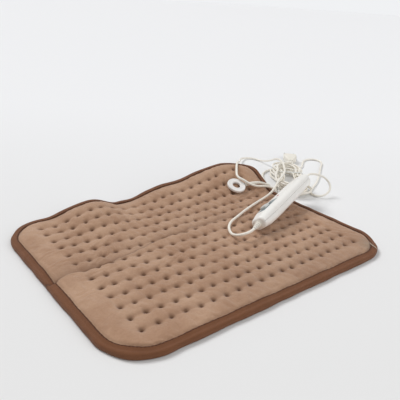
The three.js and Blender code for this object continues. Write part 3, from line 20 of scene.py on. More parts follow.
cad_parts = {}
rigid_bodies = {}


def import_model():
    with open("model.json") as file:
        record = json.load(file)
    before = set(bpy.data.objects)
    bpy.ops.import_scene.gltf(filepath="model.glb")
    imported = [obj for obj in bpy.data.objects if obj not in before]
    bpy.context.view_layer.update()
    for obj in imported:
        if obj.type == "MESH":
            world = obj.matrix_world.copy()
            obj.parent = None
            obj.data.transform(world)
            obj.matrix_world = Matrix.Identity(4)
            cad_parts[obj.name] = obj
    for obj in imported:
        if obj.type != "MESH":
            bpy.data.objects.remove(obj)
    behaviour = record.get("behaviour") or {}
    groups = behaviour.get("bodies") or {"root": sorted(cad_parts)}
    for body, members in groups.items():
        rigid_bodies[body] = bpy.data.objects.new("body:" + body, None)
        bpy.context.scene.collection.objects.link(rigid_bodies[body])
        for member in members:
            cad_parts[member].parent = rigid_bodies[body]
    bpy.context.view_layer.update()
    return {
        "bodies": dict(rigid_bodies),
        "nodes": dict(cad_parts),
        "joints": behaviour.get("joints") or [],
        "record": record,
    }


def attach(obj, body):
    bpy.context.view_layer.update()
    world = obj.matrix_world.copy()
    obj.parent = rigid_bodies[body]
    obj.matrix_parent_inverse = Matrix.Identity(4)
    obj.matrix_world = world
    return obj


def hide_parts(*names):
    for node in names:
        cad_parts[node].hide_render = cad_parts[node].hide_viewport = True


Array = NDArray[np.float64]
Pair = tuple[float, float]
Triple = tuple[float, float, float]
Screen = tuple[int, int, int]
Surface = Callable[[Array, Array], Array]
Piece = bpy.types.Object
Socket = bpy.types.NodeSocket

log = logging.getLogger("heating_pad")

MM = 0.001
PAD_BODY = "pad_and_controller"
SLIDER_BODY = "slider"
# the mesh attribute that carries painted shade, from 0 to 1
SHADE = "shade"
WELD = 0.002
SHARP = math.radians(40)
UP = np.array([0.0, 0.0, 1.0])
TURN = 2 * math.pi
QUARTER = math.pi / 2


def smoothstep(value: Array, low: float, high: float) -> Array:
    """Goes smoothly from 0 at low to 1 at high: 3s² − 2s³ of the clipped share s."""
    share = np.clip((value - low) / (high - low), 0, 1)
    return share * share * (3 - 2 * share)


def unit(vectors: Array) -> Array:
    """Vectors divided by their own lengths."""
    return vectors / np.linalg.norm(vectors, axis=-1, keepdims=True)


def blob(distance: Array, reach: float) -> Array:
    """A bell of height 1, exp(−d² / 2r²)."""
    return np.exp(-(distance**2) / (2 * reach**2))


def lerp(low: Array, high: Array, share: Array) -> Array:
    """The value at a share of the way from low to high."""
    return low + (high - low) * share


def between(at: Array, known: Array, values: Array) -> Array:
    """Values between known places, on straight lines along their first axis.

    Args:
        at: the wanted places.
        known: the known places.
        values: the values there.

    Returns:
        The values at the wanted places.
    """
    flat = values.reshape(len(known), -1)
    made = np.stack([np.interp(at, known, line) for line in flat.T], -1)
    return made.reshape(len(at), *values.shape[1:])


def circle(sides: int, offset: float = 0.0) -> Array:
    """Angles at equal steps of a turn, moved by an offset in steps."""
    return (np.arange(sides) + offset) / sides * TURN


class Waviness:
    """A smooth random field: a sum of plane waves with seeded directions and phases."""

    def __init__(self, seed: int, wavelength: float, waves: int = 14) -> None:
        """Draws the waves.

        Args:
            seed: start of the random draw.
            wavelength: the middle length of the waves, in millimetres.
            waves: how many waves are added.
        """
        rng = np.random.default_rng(seed)
        turn = rng.uniform(0, TURN, waves)
        rate = TURN / (wavelength * rng.uniform(0.6, 1.6, waves))
        self.rates = np.stack([np.cos(turn), np.sin(turn)], -1) * rate[:, None]
        self.phases = rng.uniform(0, TURN, waves)

    def __call__(self, x: Array, y: Array) -> Array:
        """The waves' sum over the root of half their count, with a spread of about 1."""
        total = np.zeros(np.broadcast(x, y).shape)
        for rate, phase in zip(self.rates, self.phases):
            total += np.sin(rate[0] * x + rate[1] * y + phase)
        return total / math.sqrt(len(self.phases) / 2)


# Frames and lines


def frame_of(x_axis: Array, y_axis: Array, z_axis: Array, origin: Array) -> Matrix:
    """A frame from its three axes and its origin."""
    rows = np.stack([x_axis, y_axis, z_axis, origin], 1)
    return Matrix([*rows.tolist(), [0, 0, 0, 1]])


def inside(frame: Matrix, points: Array) -> Array:
    """Points given in a frame, in the row frame."""
    return points @ np.array(frame.to_3x3()).T + np.array(frame.translation)


def run_of(path: Array) -> Array:
    """The run along a line of points, from 0 at its first point."""
    return np.concatenate([[0], np.cumsum(np.linalg.norm(np.diff(path, axis=0), axis=1))])


def smooth_line(points: Array, step: float) -> Array:
    """A smooth line through chosen points, at equal steps.

    The line is a natural cubic over the chord length: its second derivatives m solve the
    usual tridiagonal system, so that slope and curvature run on through every point.

    Args:
        points: the chosen points, in order.
        step: distance between the points that are given back.

    Returns:
        Points along the line.
    """
    t = run_of(points)
    n = len(points)
    h = np.linalg.norm(np.diff(points, axis=0), axis=1)
    system, right = np.eye(n), np.zeros((n, 3))
    inner = np.arange(1, n - 1)
    system[inner, inner - 1] = h[:-1]
    system[inner, inner] = 2 * (h[:-1] + h[1:])
    system[inner, inner + 1] = h[1:]
    right[1:-1] = 6 * np.diff(np.diff(points, axis=0) / h[:, None], axis=0)
    m = np.linalg.solve(system, right)

    def place(at: Array) -> Array:
        """The line's points at values of the chord length."""
        k = np.clip(np.searchsorted(t, at, side="right") - 1, 0, n - 2)
        a, b, w = (t[k + 1] - at)[:, None], (at - t[k])[:, None], h[k][:, None]
        bend = (m[k] * a**3 + m[k + 1] * b**3) / (6 * w)
        return bend + (points[k] / w - m[k] * w / 6) * a + (points[k + 1] / w - m[k + 1] * w / 6) * b

    fine_at = np.linspace(0, t[-1], int(t[-1] / step * 6))
    run = run_of(place(fine_at))
    count = max(int(round(run[-1] / step)), 4)
    return place(np.interp(np.linspace(0, run[-1], count + 1), run, fine_at))


# Meshes


def grid_quads(rows: int, columns: int, round_rows: bool = False, round_columns: bool = False) -> Array:
    """Corner numbers of a grid's quads.

    Args:
        rows: points along the first parameter.
        columns: points along the second parameter.
        round_rows: whether the last row joins the first.
        round_columns: whether the last column joins the first.

    Returns:
        One row of four corner numbers for each quad.
    """
    last_r, last_c = rows - (not round_rows), columns - (not round_columns)
    r, c = np.meshgrid(np.arange(last_r), np.arange(last_c), indexing="ij")
    next_r, next_c = (r + 1) % rows, (c + 1) % columns
    corners = [r * columns + c, r * columns + next_c, next_r * columns + next_c, next_r * columns + c]
    return np.stack(corners, -1).reshape(-1, 4)


def grid_uv(rows: int, columns: int, across: Array, along: Array) -> Array:
    """UV corners of a grid's quads, in the order of grid_quads, where both may be round.

    Args:
        rows: quads along the first parameter.
        columns: quads along the second parameter.
        across: value at each column line, one more than there are columns.
        along: value at each row line, one more than there are rows.

    Returns:
        One row of four UV pairs for each quad.
    """
    r, c = np.meshgrid(np.arange(rows), np.arange(columns), indexing="ij")
    places = [(r, c), (r, c + 1), (r + 1, c + 1), (r + 1, c)]
    uv = np.stack([np.stack([across[q], along[p]], -1) for p, q in places], 2)
    return uv.reshape(-1, 4, 2)


def link(name: str, data: bpy.types.ID) -> Piece:
    """Makes an object from its data and links it to the scene."""
    made = bpy.data.objects.new(name, data)
    bpy.context.scene.collection.objects.link(made)
    return made


def new_piece(
    name: str,
    points: Array,
    faces: Sequence[Sequence[int]],
    uv: Array | None = None,
    smooth: bool = True,
    shade: Array | None = None,
) -> Piece:
    """Makes a mesh object from points in millimetres.

    Args:
        name: the piece's name.
        points: places in the row frame.
        faces: corner numbers of each face.
        uv: UV pairs of the faces' corners in order, or None.
        smooth: whether the faces are shaded smoothly.
        shade: painted shade at each point, from 0 to 1, or None.

    Returns:
        The object, linked to the scene.
    """
    mesh = bpy.data.meshes.new(name)
    listed = faces.tolist() if isinstance(faces, np.ndarray) else [list(face) for face in faces]
    mesh.from_pydata((points.reshape(-1, 3) * MM).tolist(), [], listed)
    if uv is not None:
        layer = mesh.uv_layers.new(name="run")
        flat = np.zeros(len(mesh.loops) * 2)
        flat[: uv.size] = uv.reshape(-1)
        layer.data.foreach_set("uv", flat)
    if shade is not None:
        values = mesh.attributes.new(SHADE, "FLOAT", "POINT")
        values.data.foreach_set("value", np.clip(shade, 0, 1).reshape(-1))
    mesh.polygons.foreach_set("use_smooth", np.full(len(mesh.polygons), smooth))
    mesh.validate()
    mesh.update()
    return link(name, mesh)


def outward(piece: Piece) -> Piece:
    """Turns a closed mesh's faces where its volume, the sum of a · (b × c) / 6, is negative.

    Args:
        piece: the piece.

    Returns:
        The same piece.
    """
    mesh = piece.data
    mesh.calc_loop_triangles()
    co = np.zeros(len(mesh.vertices) * 3)
    mesh.vertices.foreach_get("co", co)
    corners = np.zeros(len(mesh.loop_triangles) * 3, np.int32)
    mesh.loop_triangles.foreach_get("vertices", corners)
    a, b, c = co.reshape(-1, 3)[corners.reshape(-1, 3)].transpose(1, 0, 2)
    if np.einsum("ij,ij->i", a, np.cross(b, c)).sum() < 0:
        mesh.flip_normals()
    return piece


def closed_loft(name: str, rings: Array, uv: Array | None = None) -> Piece:
    """Joins rings of points into one closed body.

    Args:
        name: the piece's name.
        rings: stations × points around × 3.
        uv: UV pairs of its side's corners, or None.

    Returns:
        The body, with a flat face at both ends.
    """
    rows, columns = rings.shape[:2]
    faces = grid_quads(rows, columns, round_columns=True).tolist()
    faces.append(list(range(columns)))
    faces.append(list(range((rows - 1) * columns, rows * columns))[::-1])
    return outward(new_piece(name, rings, faces, uv=uv))


def tube(name: str, path: Array, radii: Array | float, sides: int = 14) -> Piece:
    """A round tube along a line, closed at both ends, with its run as UV.

    Each ring is p + r (s cos a + t sin a), where s is level and square to the line.

    Args:
        name: the piece's name.
        path: points of its middle line.
        radii: its radius, or one radius for each point.
        sides: steps around.

    Returns:
        The tube.
    """
    reach = np.broadcast_to(np.asarray(radii, float), len(path))[:, None, None]
    along = unit(np.gradient(path, axis=0))
    side = unit(np.cross(along, UP))
    top = np.cross(side, along)
    turn = circle(sides, 0.5)[None, :, None]
    rings = path[:, None] + reach * side[:, None] * np.cos(turn) + reach * top[:, None] * np.sin(turn)
    uv = grid_uv(len(path) - 1, sides, np.linspace(0, 1, sides + 1), run_of(path) * MM)
    return closed_loft(name, rings, uv)


def lathe(name: str, profile: Sequence[Pair], frame: Matrix, sides: int = 40) -> Piece:
    """A closed solid of revolution about a frame's z axis.

    Args:
        name: the piece's name.
        profile: pairs of radius and height. The first and last lie on the axis, unless
            the profile closes on itself.
        frame: place and direction of the axis.
        sides: steps around.

    Returns:
        The piece, with one point at each pole.
    """
    ring = np.allclose(profile[0], profile[-1])
    radius, height = np.array(profile[:-1] if ring else profile, float).T
    turn = circle(sides)
    body = slice(None) if ring else slice(1, -1)
    r, z = radius[body][:, None], height[body][:, None]
    points = np.stack([r * np.cos(turn), r * np.sin(turn), z + 0 * turn], -1).reshape(-1, 3)
    faces = grid_quads(len(r), sides, round_rows=ring, round_columns=True).tolist()
    if not ring:
        low, high = len(points), len(points) + 1
        points = np.vstack([points, [[0, 0, height[0]], [0, 0, height[-1]]]])
        last = (len(r) - 1) * sides
        for k in range(sides):
            faces.append([low, (k + 1) % sides, k])
            faces.append([high, last + k, last + (k + 1) % sides])
    return outward(new_piece(name, inside(frame, points), faces))


def cylinder(radius: float, low: float, high: float, frame: Matrix, sides: int = 40) -> Piece:
    """A cylinder along a frame's z axis, for cutting."""
    return lathe("bore", [(0, low), (radius, low), (radius, high), (0, high)], frame, sides)


def block(name: str, size: Triple, centre: Triple, frame: Matrix) -> Piece:
    """A rectangular block in a frame, for cutting and for flat plates.

    Args:
        name: the piece's name.
        size: lengths along the frame's axes.
        centre: its middle in the frame.
        frame: the frame.

    Returns:
        The block.
    """
    signs = np.array([[x, y, z] for x in (-1, 1) for y in (-1, 1) for z in (-1, 1)], float)
    placed = inside(frame, signs * np.array(size) / 2 + np.array(centre))
    faces = [[0, 1, 3, 2], [4, 6, 7, 5], [0, 4, 5, 1], [2, 3, 7, 6], [0, 2, 6, 4], [1, 5, 7, 3]]
    return outward(new_piece(name, placed, faces, smooth=False))


def finished_mesh(piece: Piece) -> bpy.types.Mesh:
    """The mesh that an object has once it is evaluated."""
    graph = bpy.context.evaluated_depsgraph_get()
    return bpy.data.meshes.new_from_object(piece.evaluated_get(graph))


def finished(piece: Piece) -> Piece:
    """Applies a piece's modifiers to its mesh."""
    mesh = finished_mesh(piece)
    piece.modifiers.clear()
    piece.data = mesh
    return piece


class Cut(Enum):
    """What becomes of a piece that is cut by another body."""

    WITHOUT = "DIFFERENCE"
    WITHIN = "INTERSECT"
    WITH = "UNION"


def carve(piece: Piece, other: Piece, cut: Cut = Cut.WITHOUT) -> None:
    """Cuts a piece by another closed body, or joins them.

    Args:
        piece: the piece that is changed.
        other: the other body, which is removed.
        cut: what is left of the piece.
    """
    modifier = piece.modifiers.new("carve", "BOOLEAN")
    modifier.operation, modifier.solver, modifier.object = cut.value, "EXACT", other
    finished(piece)
    bpy.data.objects.remove(other)


def soften(piece: Piece, width: float, segments: int = 2) -> Piece:
    """Rounds a piece's sharp edges and shades the rest smoothly.

    Args:
        piece: the piece.
        width: width of the rounding.
        segments: faces across the rounding.

    Returns:
        The piece, with its modifiers applied.
    """
    weld = piece.modifiers.new("weld", "WELD")
    weld.merge_threshold = WELD * MM
    bevel = piece.modifiers.new("edges", "BEVEL")
    bevel.width, bevel.segments = width * MM, segments
    bevel.limit_method, bevel.angle_limit = "ANGLE", SHARP
    bevel.use_clamp_overlap = True
    piece.modifiers.new("normals", "WEIGHTED_NORMAL").keep_sharp = True
    finished(piece)
    piece.data.polygons.foreach_set("use_smooth", np.full(len(piece.data.polygons), True))
    return piece


def dress(
    piece: Piece, material: bpy.types.Material, slot: str, *stands_for: str, body: str = PAD_BODY
) -> Piece:
    """Gives a piece its material and body, and hides the nodes it stands for.

    Args:
        piece: the piece.
        material: its material.
        slot: not used.
        stands_for: CAD nodes that it replaces.
        body: the CAD body that it rides on.

    Returns:
        The piece.
    """
    piece.data.materials.clear()
    piece.data.materials.append(material)
    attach(piece, body)
    if stands_for:
        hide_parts(*stands_for)
    log.info("%s: %d faces on %s", piece.name, len(piece.data.polygons), body)
    return piece


# Materials


class Paint:
    """Short calls for the nodes of one material or one node group."""

    def __init__(self, tree: bpy.types.NodeTree) -> None:
        """Keeps the node tree."""
        self.tree = tree

    def feed(self, socket: Socket, value: object) -> None:
        """Links a socket to an input, or sets the input's value.

        Args:
            socket: the input.
            value: an output, a colour, a vector or a number.
        """
        if isinstance(value, Socket):
            self.tree.links.new(value, socket)
        elif isinstance(value, tuple) and len(value) == 3 and len(socket.default_value) == 4:
            socket.default_value = (*value, 1)
        else:
            socket.default_value = value

    def node(self, kind: str, inputs: dict[str | int, object], **settings: object) -> Sequence[Socket]:
        """Adds a node, sets its settings and feeds its inputs.

        Args:
            kind: the node's type, without the words that all types start with.
            inputs: sockets or values, by the inputs' names or numbers.
            settings: the node's attributes.

        Returns:
            Its outputs.
        """
        made = self.tree.nodes.new("ShaderNode" + kind)
        for name, value in settings.items():
            setattr(made, name, value)
        for name, value in inputs.items():
            self.feed(made.inputs[name], value)
        return made.outputs

    def math(self, operation: str, *values: object, clamp: bool = False) -> Socket:
        """Does arithmetic on sockets and numbers, kept from 0 to 1 where clamp is set."""
        return self.node("Math", dict(enumerate(values)), operation=operation, use_clamp=clamp)[0]

    def noise(self, place: Socket, scale: object, detail: float, roughness: float) -> Socket:
        """A noise value from 0 to 1, with so many waves in a metre."""
        inputs = {"Vector": place, "Scale": scale, "Detail": detail, "Roughness": roughness}
        return self.node("TexNoise", inputs)["Fac"]

    def ramp(self, value: Socket, low: float, high: float) -> Socket:
        """Spreads the values from low to high over 0 to 1, smoothly."""
        inputs = {"Value": value, "From Min": low, "From Max": high}
        return self.node("MapRange", inputs, interpolation_type="SMOOTHSTEP")["Result"]

    def mix(self, share: Socket, low: object, high: object) -> Socket:
        """Mixes two colours by the second one's share."""
        return self.node("Mix", {"Factor": share, "A": low, "B": high}, data_type="RGBA")["Result"]

    def objects(self) -> Socket:
        """Object coordinates, in metres."""
        return self.node("TexCoord", {})["Object"]

    def away(self, place: Triple, operation: str) -> Socket:
        """Object coordinates' distance from a place, or their length along a direction."""
        return self.node("VectorMath", {0: self.objects(), 1: place}, operation=operation)["Value"]

    def shade(self) -> Socket:
        """The mesh's own value of painted shade, from 0 to 1."""
        return self.node("Attribute", {}, attribute_name=SHADE)["Fac"]


Inputs = dict[str, Socket]
Outputs = tuple[Socket, Socket, Socket]
Effect = Callable[[Paint, Inputs], Outputs]


def pile(paint: Paint, entry: Inputs) -> Outputs:
    """Short plush pile: broad brushed patches, a mottle and single fibres.

    Args:
        paint: calls for the group's nodes.
        entry: the group's inputs by name.

    Returns:
        Colour, roughness and height.
    """
    place = entry["PLACE"]
    patches = paint.ramp(paint.noise(place, 26, 3, 0.6), 0.3, 0.72)
    mottle = paint.noise(place, 420, 4, 0.65)
    fibres = paint.noise(place, 2600, 2, 0.6)
    brushed = paint.math("MULTIPLY_ADD", mottle, 0.55, paint.math("MULTIPLY", patches, 0.45))
    worn = paint.math("SUBTRACT", brushed, 0.25)
    share = paint.math("MULTIPLY_ADD", fibres, 0.5, worn, clamp=True)
    height = paint.math("MULTIPLY_ADD", fibres, 0.5, paint.math("MULTIPLY", mottle, 0.9))
    roughness = paint.math("MULTIPLY_ADD", mottle, 0.12, 0.86)
    return paint.mix(share, entry["Dark"], entry["Light"]), roughness, height


def weave(paint: Paint, entry: Inputs) -> Outputs:
    """A ribbed tape: ribs across the run, crossed by finer threads, and faded patches.

    Args:
        paint: calls for the group's nodes.
        entry: the group's inputs by name.

    Returns:
        Colour, roughness and height.
    """
    split = paint.node("SeparateXYZ", {0: entry["RUN"]})
    ribs = paint.math("SINE", paint.math("MULTIPLY", split["Y"], entry["Ribs"]))
    threads = paint.math("SINE", paint.math("MULTIPLY", split["X"], entry["Threads"]))
    cloth = paint.math("MULTIPLY", paint.math("ABSOLUTE", ribs), paint.math("ABSOLUTE", threads))
    patches = paint.noise(entry["PLACE"], 60, 4, 0.6)
    fuzz = paint.noise(entry["PLACE"], 1900, 3, 0.6)
    toned = paint.math("MULTIPLY_ADD", patches, 0.7, paint.math("MULTIPLY", cloth, 0.25))
    share = paint.math("MULTIPLY_ADD", fuzz, 0.35, paint.math("SUBTRACT", toned, 0.15), clamp=True)
    roughness = paint.math("MULTIPLY_ADD", fuzz, 0.15, 0.66)
    height = paint.math("MULTIPLY_ADD", fuzz, 0.4, cloth)
    return paint.mix(share, entry["Dark"], entry["Light"]), roughness, height


def moulded(paint: Paint, entry: Inputs) -> Outputs:
    """Moulded plastic: cloudy colour, a fine eroded texture and hand marks.

    Args:
        paint: calls for the group's nodes.
        entry: the group's inputs by name.

    Returns:
        Colour, roughness and height.
    """
    place = entry["PLACE"]
    clouds = paint.ramp(paint.noise(place, 38, 4, 0.6), 0.35, 0.7)
    marks = paint.ramp(paint.noise(place, 210, 5, 0.7), 0.56, 0.74)
    base = paint.mix(paint.math("MULTIPLY", clouds, 0.6), entry["Color"], entry["Aged"])
    color = paint.mix(paint.math("MULTIPLY", marks, entry["Marks"]), base, entry["Soil"])
    worn = paint.math("MULTIPLY_ADD", clouds, 0.1, paint.math("SUBTRACT", entry["Roughness"], 0.05))
    roughness = paint.math("MULTIPLY_ADD", marks, 0.14, worn)
    return color, roughness, paint.noise(place, entry["Grain"], 2, 0.5)


class Coordinates(Enum):
    """What a finish's pattern may follow."""

    PLACE = "Object"
    RUN = "UV"


def node_group(effect: Effect, values: dict[str, object]) -> bpy.types.NodeTree:
    """Makes a node group once and gives it back on every later call.

    Args:
        effect: adds its nodes. The group has its name.
        values: values of its inputs: a socket of Coordinates, a colour or a number.

    Returns:
        The group.
    """
    name = effect.__name__
    if name in bpy.data.node_groups:
        return bpy.data.node_groups[name]
    group = bpy.data.node_groups.new(name, "ShaderNodeTree")
    kinds = {Socket: "Vector", tuple: "Color", float: "Float"}
    sides = {
        "INPUT": {
            socket: next(kinds[kind] for kind in kinds if isinstance(value, kind))
            for socket, value in values.items()
        },
        "OUTPUT": {"Color": "Color", "Roughness": "Float", "Height": "Float"},
    }
    for side, sockets in sides.items():
        for socket, kind in sockets.items():
            group.interface.new_socket(name=socket, in_out=side, socket_type="NodeSocket" + kind)
    paint = Paint(group)
    entry = {socket.name: socket for socket in group.nodes.new("NodeGroupInput").outputs}
    leave = group.nodes.new("NodeGroupOutput").inputs
    for made, socket in zip(effect(paint, entry), list(leave)):
        paint.feed(socket, made)
    return group


def blank(name: str) -> tuple[bpy.types.Material, Paint, dict[str, Socket]]:
    """A new material with nothing but its shader.

    Args:
        name: the material's name.

    Returns:
        The material, calls for its nodes, and its shader's inputs.
    """
    material = bpy.data.materials.new(name)
    material.use_nodes = True
    inputs = material.node_tree.nodes["Principled BSDF"].inputs
    return material, Paint(material.node_tree), inputs


def look(
    name: str,
    effect: Effect,
    values: dict[str, object],
    bump: float,
    plain: dict[str, object],
    follows: Sequence[Coordinates] = (Coordinates.PLACE,),
) -> tuple[bpy.types.Material, Paint, Socket, Socket]:
    """A material whose colour, roughness and bump come from one node group.

    Args:
        name: the material's name.
        effect: what the group does.
        values: values of the group's inputs.
        bump: height of the bump, in metres.
        plain: values set on the shader's own sockets.
        follows: the coordinates that the group takes.

    Returns:
        The material, its nodes, the group's colour and the shader's colour input.
    """
    material, paint, shader = blank(name)
    coordinates = paint.node("TexCoord", {})
    inputs = {kind.name: coordinates[kind.value] for kind in follows} | values
    made = paint.node("Group", inputs, node_tree=node_group(effect, inputs))
    raised = paint.node("Bump", {"Distance": bump, "Height": made["Height"]})
    fed = {"Base Color": made["Color"], "Roughness": made["Roughness"], "Normal": raised["Normal"]}
    for socket, value in (fed | plain).items():
        paint.feed(shader[socket], value)
    return material, paint, made["Color"], shader["Base Color"]


def linear(colour: Screen) -> Triple:
    """A colour of the screen's scale, from 0 to 255, as linear light."""
    shares = [value / 255 for value in colour]
    return tuple(s / 12.92 if s <= 0.04045 else ((s + 0.055) / 1.055) ** 2.4 for s in shares)


@dataclass(frozen=True)
class Cloth:
    """Cloth in two tones, and a third, darker tone that the mesh's painted shade mixes in."""

    name: str
    light: Screen
    dark: Screen
    # deep: the tone of the painted shade
    deep: Screen | None = None

    def tones(self) -> dict[str, object]:
        """Both tones, by the group's inputs."""
        return {"Light": linear(self.light), "Dark": linear(self.dark)}

    def deepen(self, paint: Paint, colour: Socket, base: Socket) -> None:
        """Mixes the third tone into a colour by the mesh's painted shade and joins it to the shader."""
        if self.deep:
            colour = paint.mix(paint.shade(), colour, linear(self.deep))
        paint.feed(base, colour)


@dataclass(frozen=True)
class Plush(Cloth):
    """Short plush, which may have a rubbed grey patch about a place given in metres."""

    rubbed: Screen | None = None
    rub_at: Triple = (0.170, -0.134, 0.01)
    rub_edge: Pair = (0.014, 0.0374)
    rub_ragged: float = 0.03
    rub_share: float = 0.6
    bump: float = 0.0007

    def material(self) -> bpy.types.Material:
        """The material, with the rubbed patch laid over the pile's colour.

        Returns:
            The material.
        """
        plain = {"Sheen Weight": 0.25, "Sheen Roughness": 0.45, "Specular IOR Level": 0.15}
        material, paint, colour, base = look(self.name, pile, self.tones(), self.bump, plain)
        if self.rubbed:
            ragged = paint.noise(paint.objects(), 130, 4, 0.65)
            away = paint.away(self.rub_at, "DISTANCE")
            edge = paint.math("MULTIPLY_ADD", ragged, self.rub_ragged, away)
            near = paint.math("SUBTRACT", 1.0, paint.ramp(edge, *self.rub_edge))
            share = paint.math("MULTIPLY", near, self.rub_share)
            colour = paint.mix(share, colour, linear(self.rubbed))
        self.deepen(paint, colour, base)
        return material


@dataclass(frozen=True)
class Tape(Cloth):
    """Woven cloth that follows a strip's own run."""

    ribs: float = 5200.0
    threads: float = 5200.0
    bump: float = 0.00016

    def material(self) -> bpy.types.Material:
        """The material."""
        values = {**self.tones(), "Ribs": self.ribs, "Threads": self.threads}
        plain = {"Sheen Weight": 0.1, "Sheen Roughness": 0.4, "Specular IOR Level": 0.2}
        made = look(self.name, weave, values, self.bump, plain, tuple(Coordinates))
        self.deepen(*made[1:])
        return made[0]


@dataclass(frozen=True)
class Moulding:
    """Moulded plastic, rubber, card or metal, by its colour, gloss and marks."""

    name: str
    color: Screen
    aged: Screen
    roughness: float = 0.42
    marks: float = 0.2
    coat: float = 0.0
    metallic: float = 0.0
    transmission: float = 0.0
    soil: Screen = (150, 138, 118)
    grain: float = 2400.0
    bump: float = 0.00003

    def material(self) -> bpy.types.Material:
        """The material."""
        values = {"Color": linear(self.color), "Aged": linear(self.aged), "Soil": linear(self.soil)}
        values |= {"Marks": self.marks, "Grain": self.grain, "Roughness": self.roughness}
        plain = {"Coat Weight": self.coat, "Coat Roughness": 0.15, "Metallic": self.metallic}
        plain["Transmission Weight"] = self.transmission
        return look(self.name, moulded, values, self.bump, plain)[0]


# PLUSH's deep tone is painted shade, in the tufts' hollows, the fold and on the rows' far slopes
PLUSH = Plush("plush", (200, 165, 138), (163, 125, 99), deep=(84, 55, 38), rubbed=(154, 137, 119))
PLUSH_BACK = Plush("plush back", (176, 147, 121), (143, 112, 88))
FLEECE = Plush("wadding fleece", (240, 236, 226), (216, 208, 194))
# BINDING_TAPE's deep tone is painted shade, along the tape's raised inner edge and in the join's step
BINDING_TAPE = Tape("edge tape", (138, 92, 63), (106, 67, 44), deep=(52, 28, 18))
THREAD = Tape("sewing thread", (92, 54, 40), (60, 34, 25), ribs=16000.0, threads=200.0)
LOOSE_THREAD = Tape("loose thread", (238, 222, 206), (214, 194, 174), ribs=16000.0, threads=200.0)
WHITE_CASE = Moulding("white case", (251, 249, 245), (247, 244, 238), 0.38, coat=0.15)
WHITE_RING = Moulding("white ring", (243, 241, 239), (235, 231, 226), 0.36, coat=0.1)
CORD_JACKET = Moulding("cord jacket", (249, 245, 236), (242, 235, 222), 0.45, marks=0.35)
SOFT_RELIEF = Moulding("soft relief", (238, 234, 226), (226, 219, 205), 0.5, marks=0.3)
PLUG_VINYL = Moulding("plug vinyl", (244, 240, 230), (236, 230, 216), 0.48, marks=0.3)
SCALE_GREY = Moulding("scale plate", (150, 163, 166), (138, 150, 154), 0.4, marks=0.25)
SCALE_INK = Moulding("scale ink", (58, 66, 72), (70, 76, 80), 0.5, marks=0.1)
KNOB_GREY = Moulding("slider knob", (226, 227, 224), (214, 214, 208))
RED_LENS = Moulding("red lens", (196, 60, 44), (172, 44, 34), 0.14, coat=0.6, marks=0.05)
NICKEL = Moulding("nickel", (205, 203, 197), (186, 183, 176), 0.26, metallic=1.0)
STEEL = Moulding("steel", (188, 191, 195), (168, 170, 174), 0.32, metallic=1.0)
CLEAR_TIE = Moulding("clear tie", (233, 233, 228), (220, 219, 210), 0.3, coat=0.2)
BOARD_GREEN = Moulding("board green", (52, 112, 74), (42, 96, 62), 0.5)
DARK_PART = Moulding("dark part", (48, 48, 51), (60, 60, 62), 0.5)
BLUE_PART = Moulding("blue part", (63, 99, 152), (52, 84, 132))
GLASS_PART = Moulding("glass part", (214, 218, 218), (200, 205, 205), 0.12, transmission=0.6)
ELEMENT_JACKET = Moulding("element jacket", (220, 205, 172), (204, 187, 150), 0.6)


# Pad


@dataclass(frozen=True)
class Wave:
    """A hump of the pad off the floor, which fades towards the pad's front."""

    rise: float
    at: float
    reach: Pair
    span: Pair

    def height(self, x: Array, y: Array) -> Array:
        """(1 − t²)² along X, where t is the distance over the reach of its side."""
        t = np.abs(x - self.at) / np.where(x < self.at, *self.reach)
        return self.rise * np.where(t < 1, (1 - t * t) ** 2, 0) * smoothstep(y, *self.span)


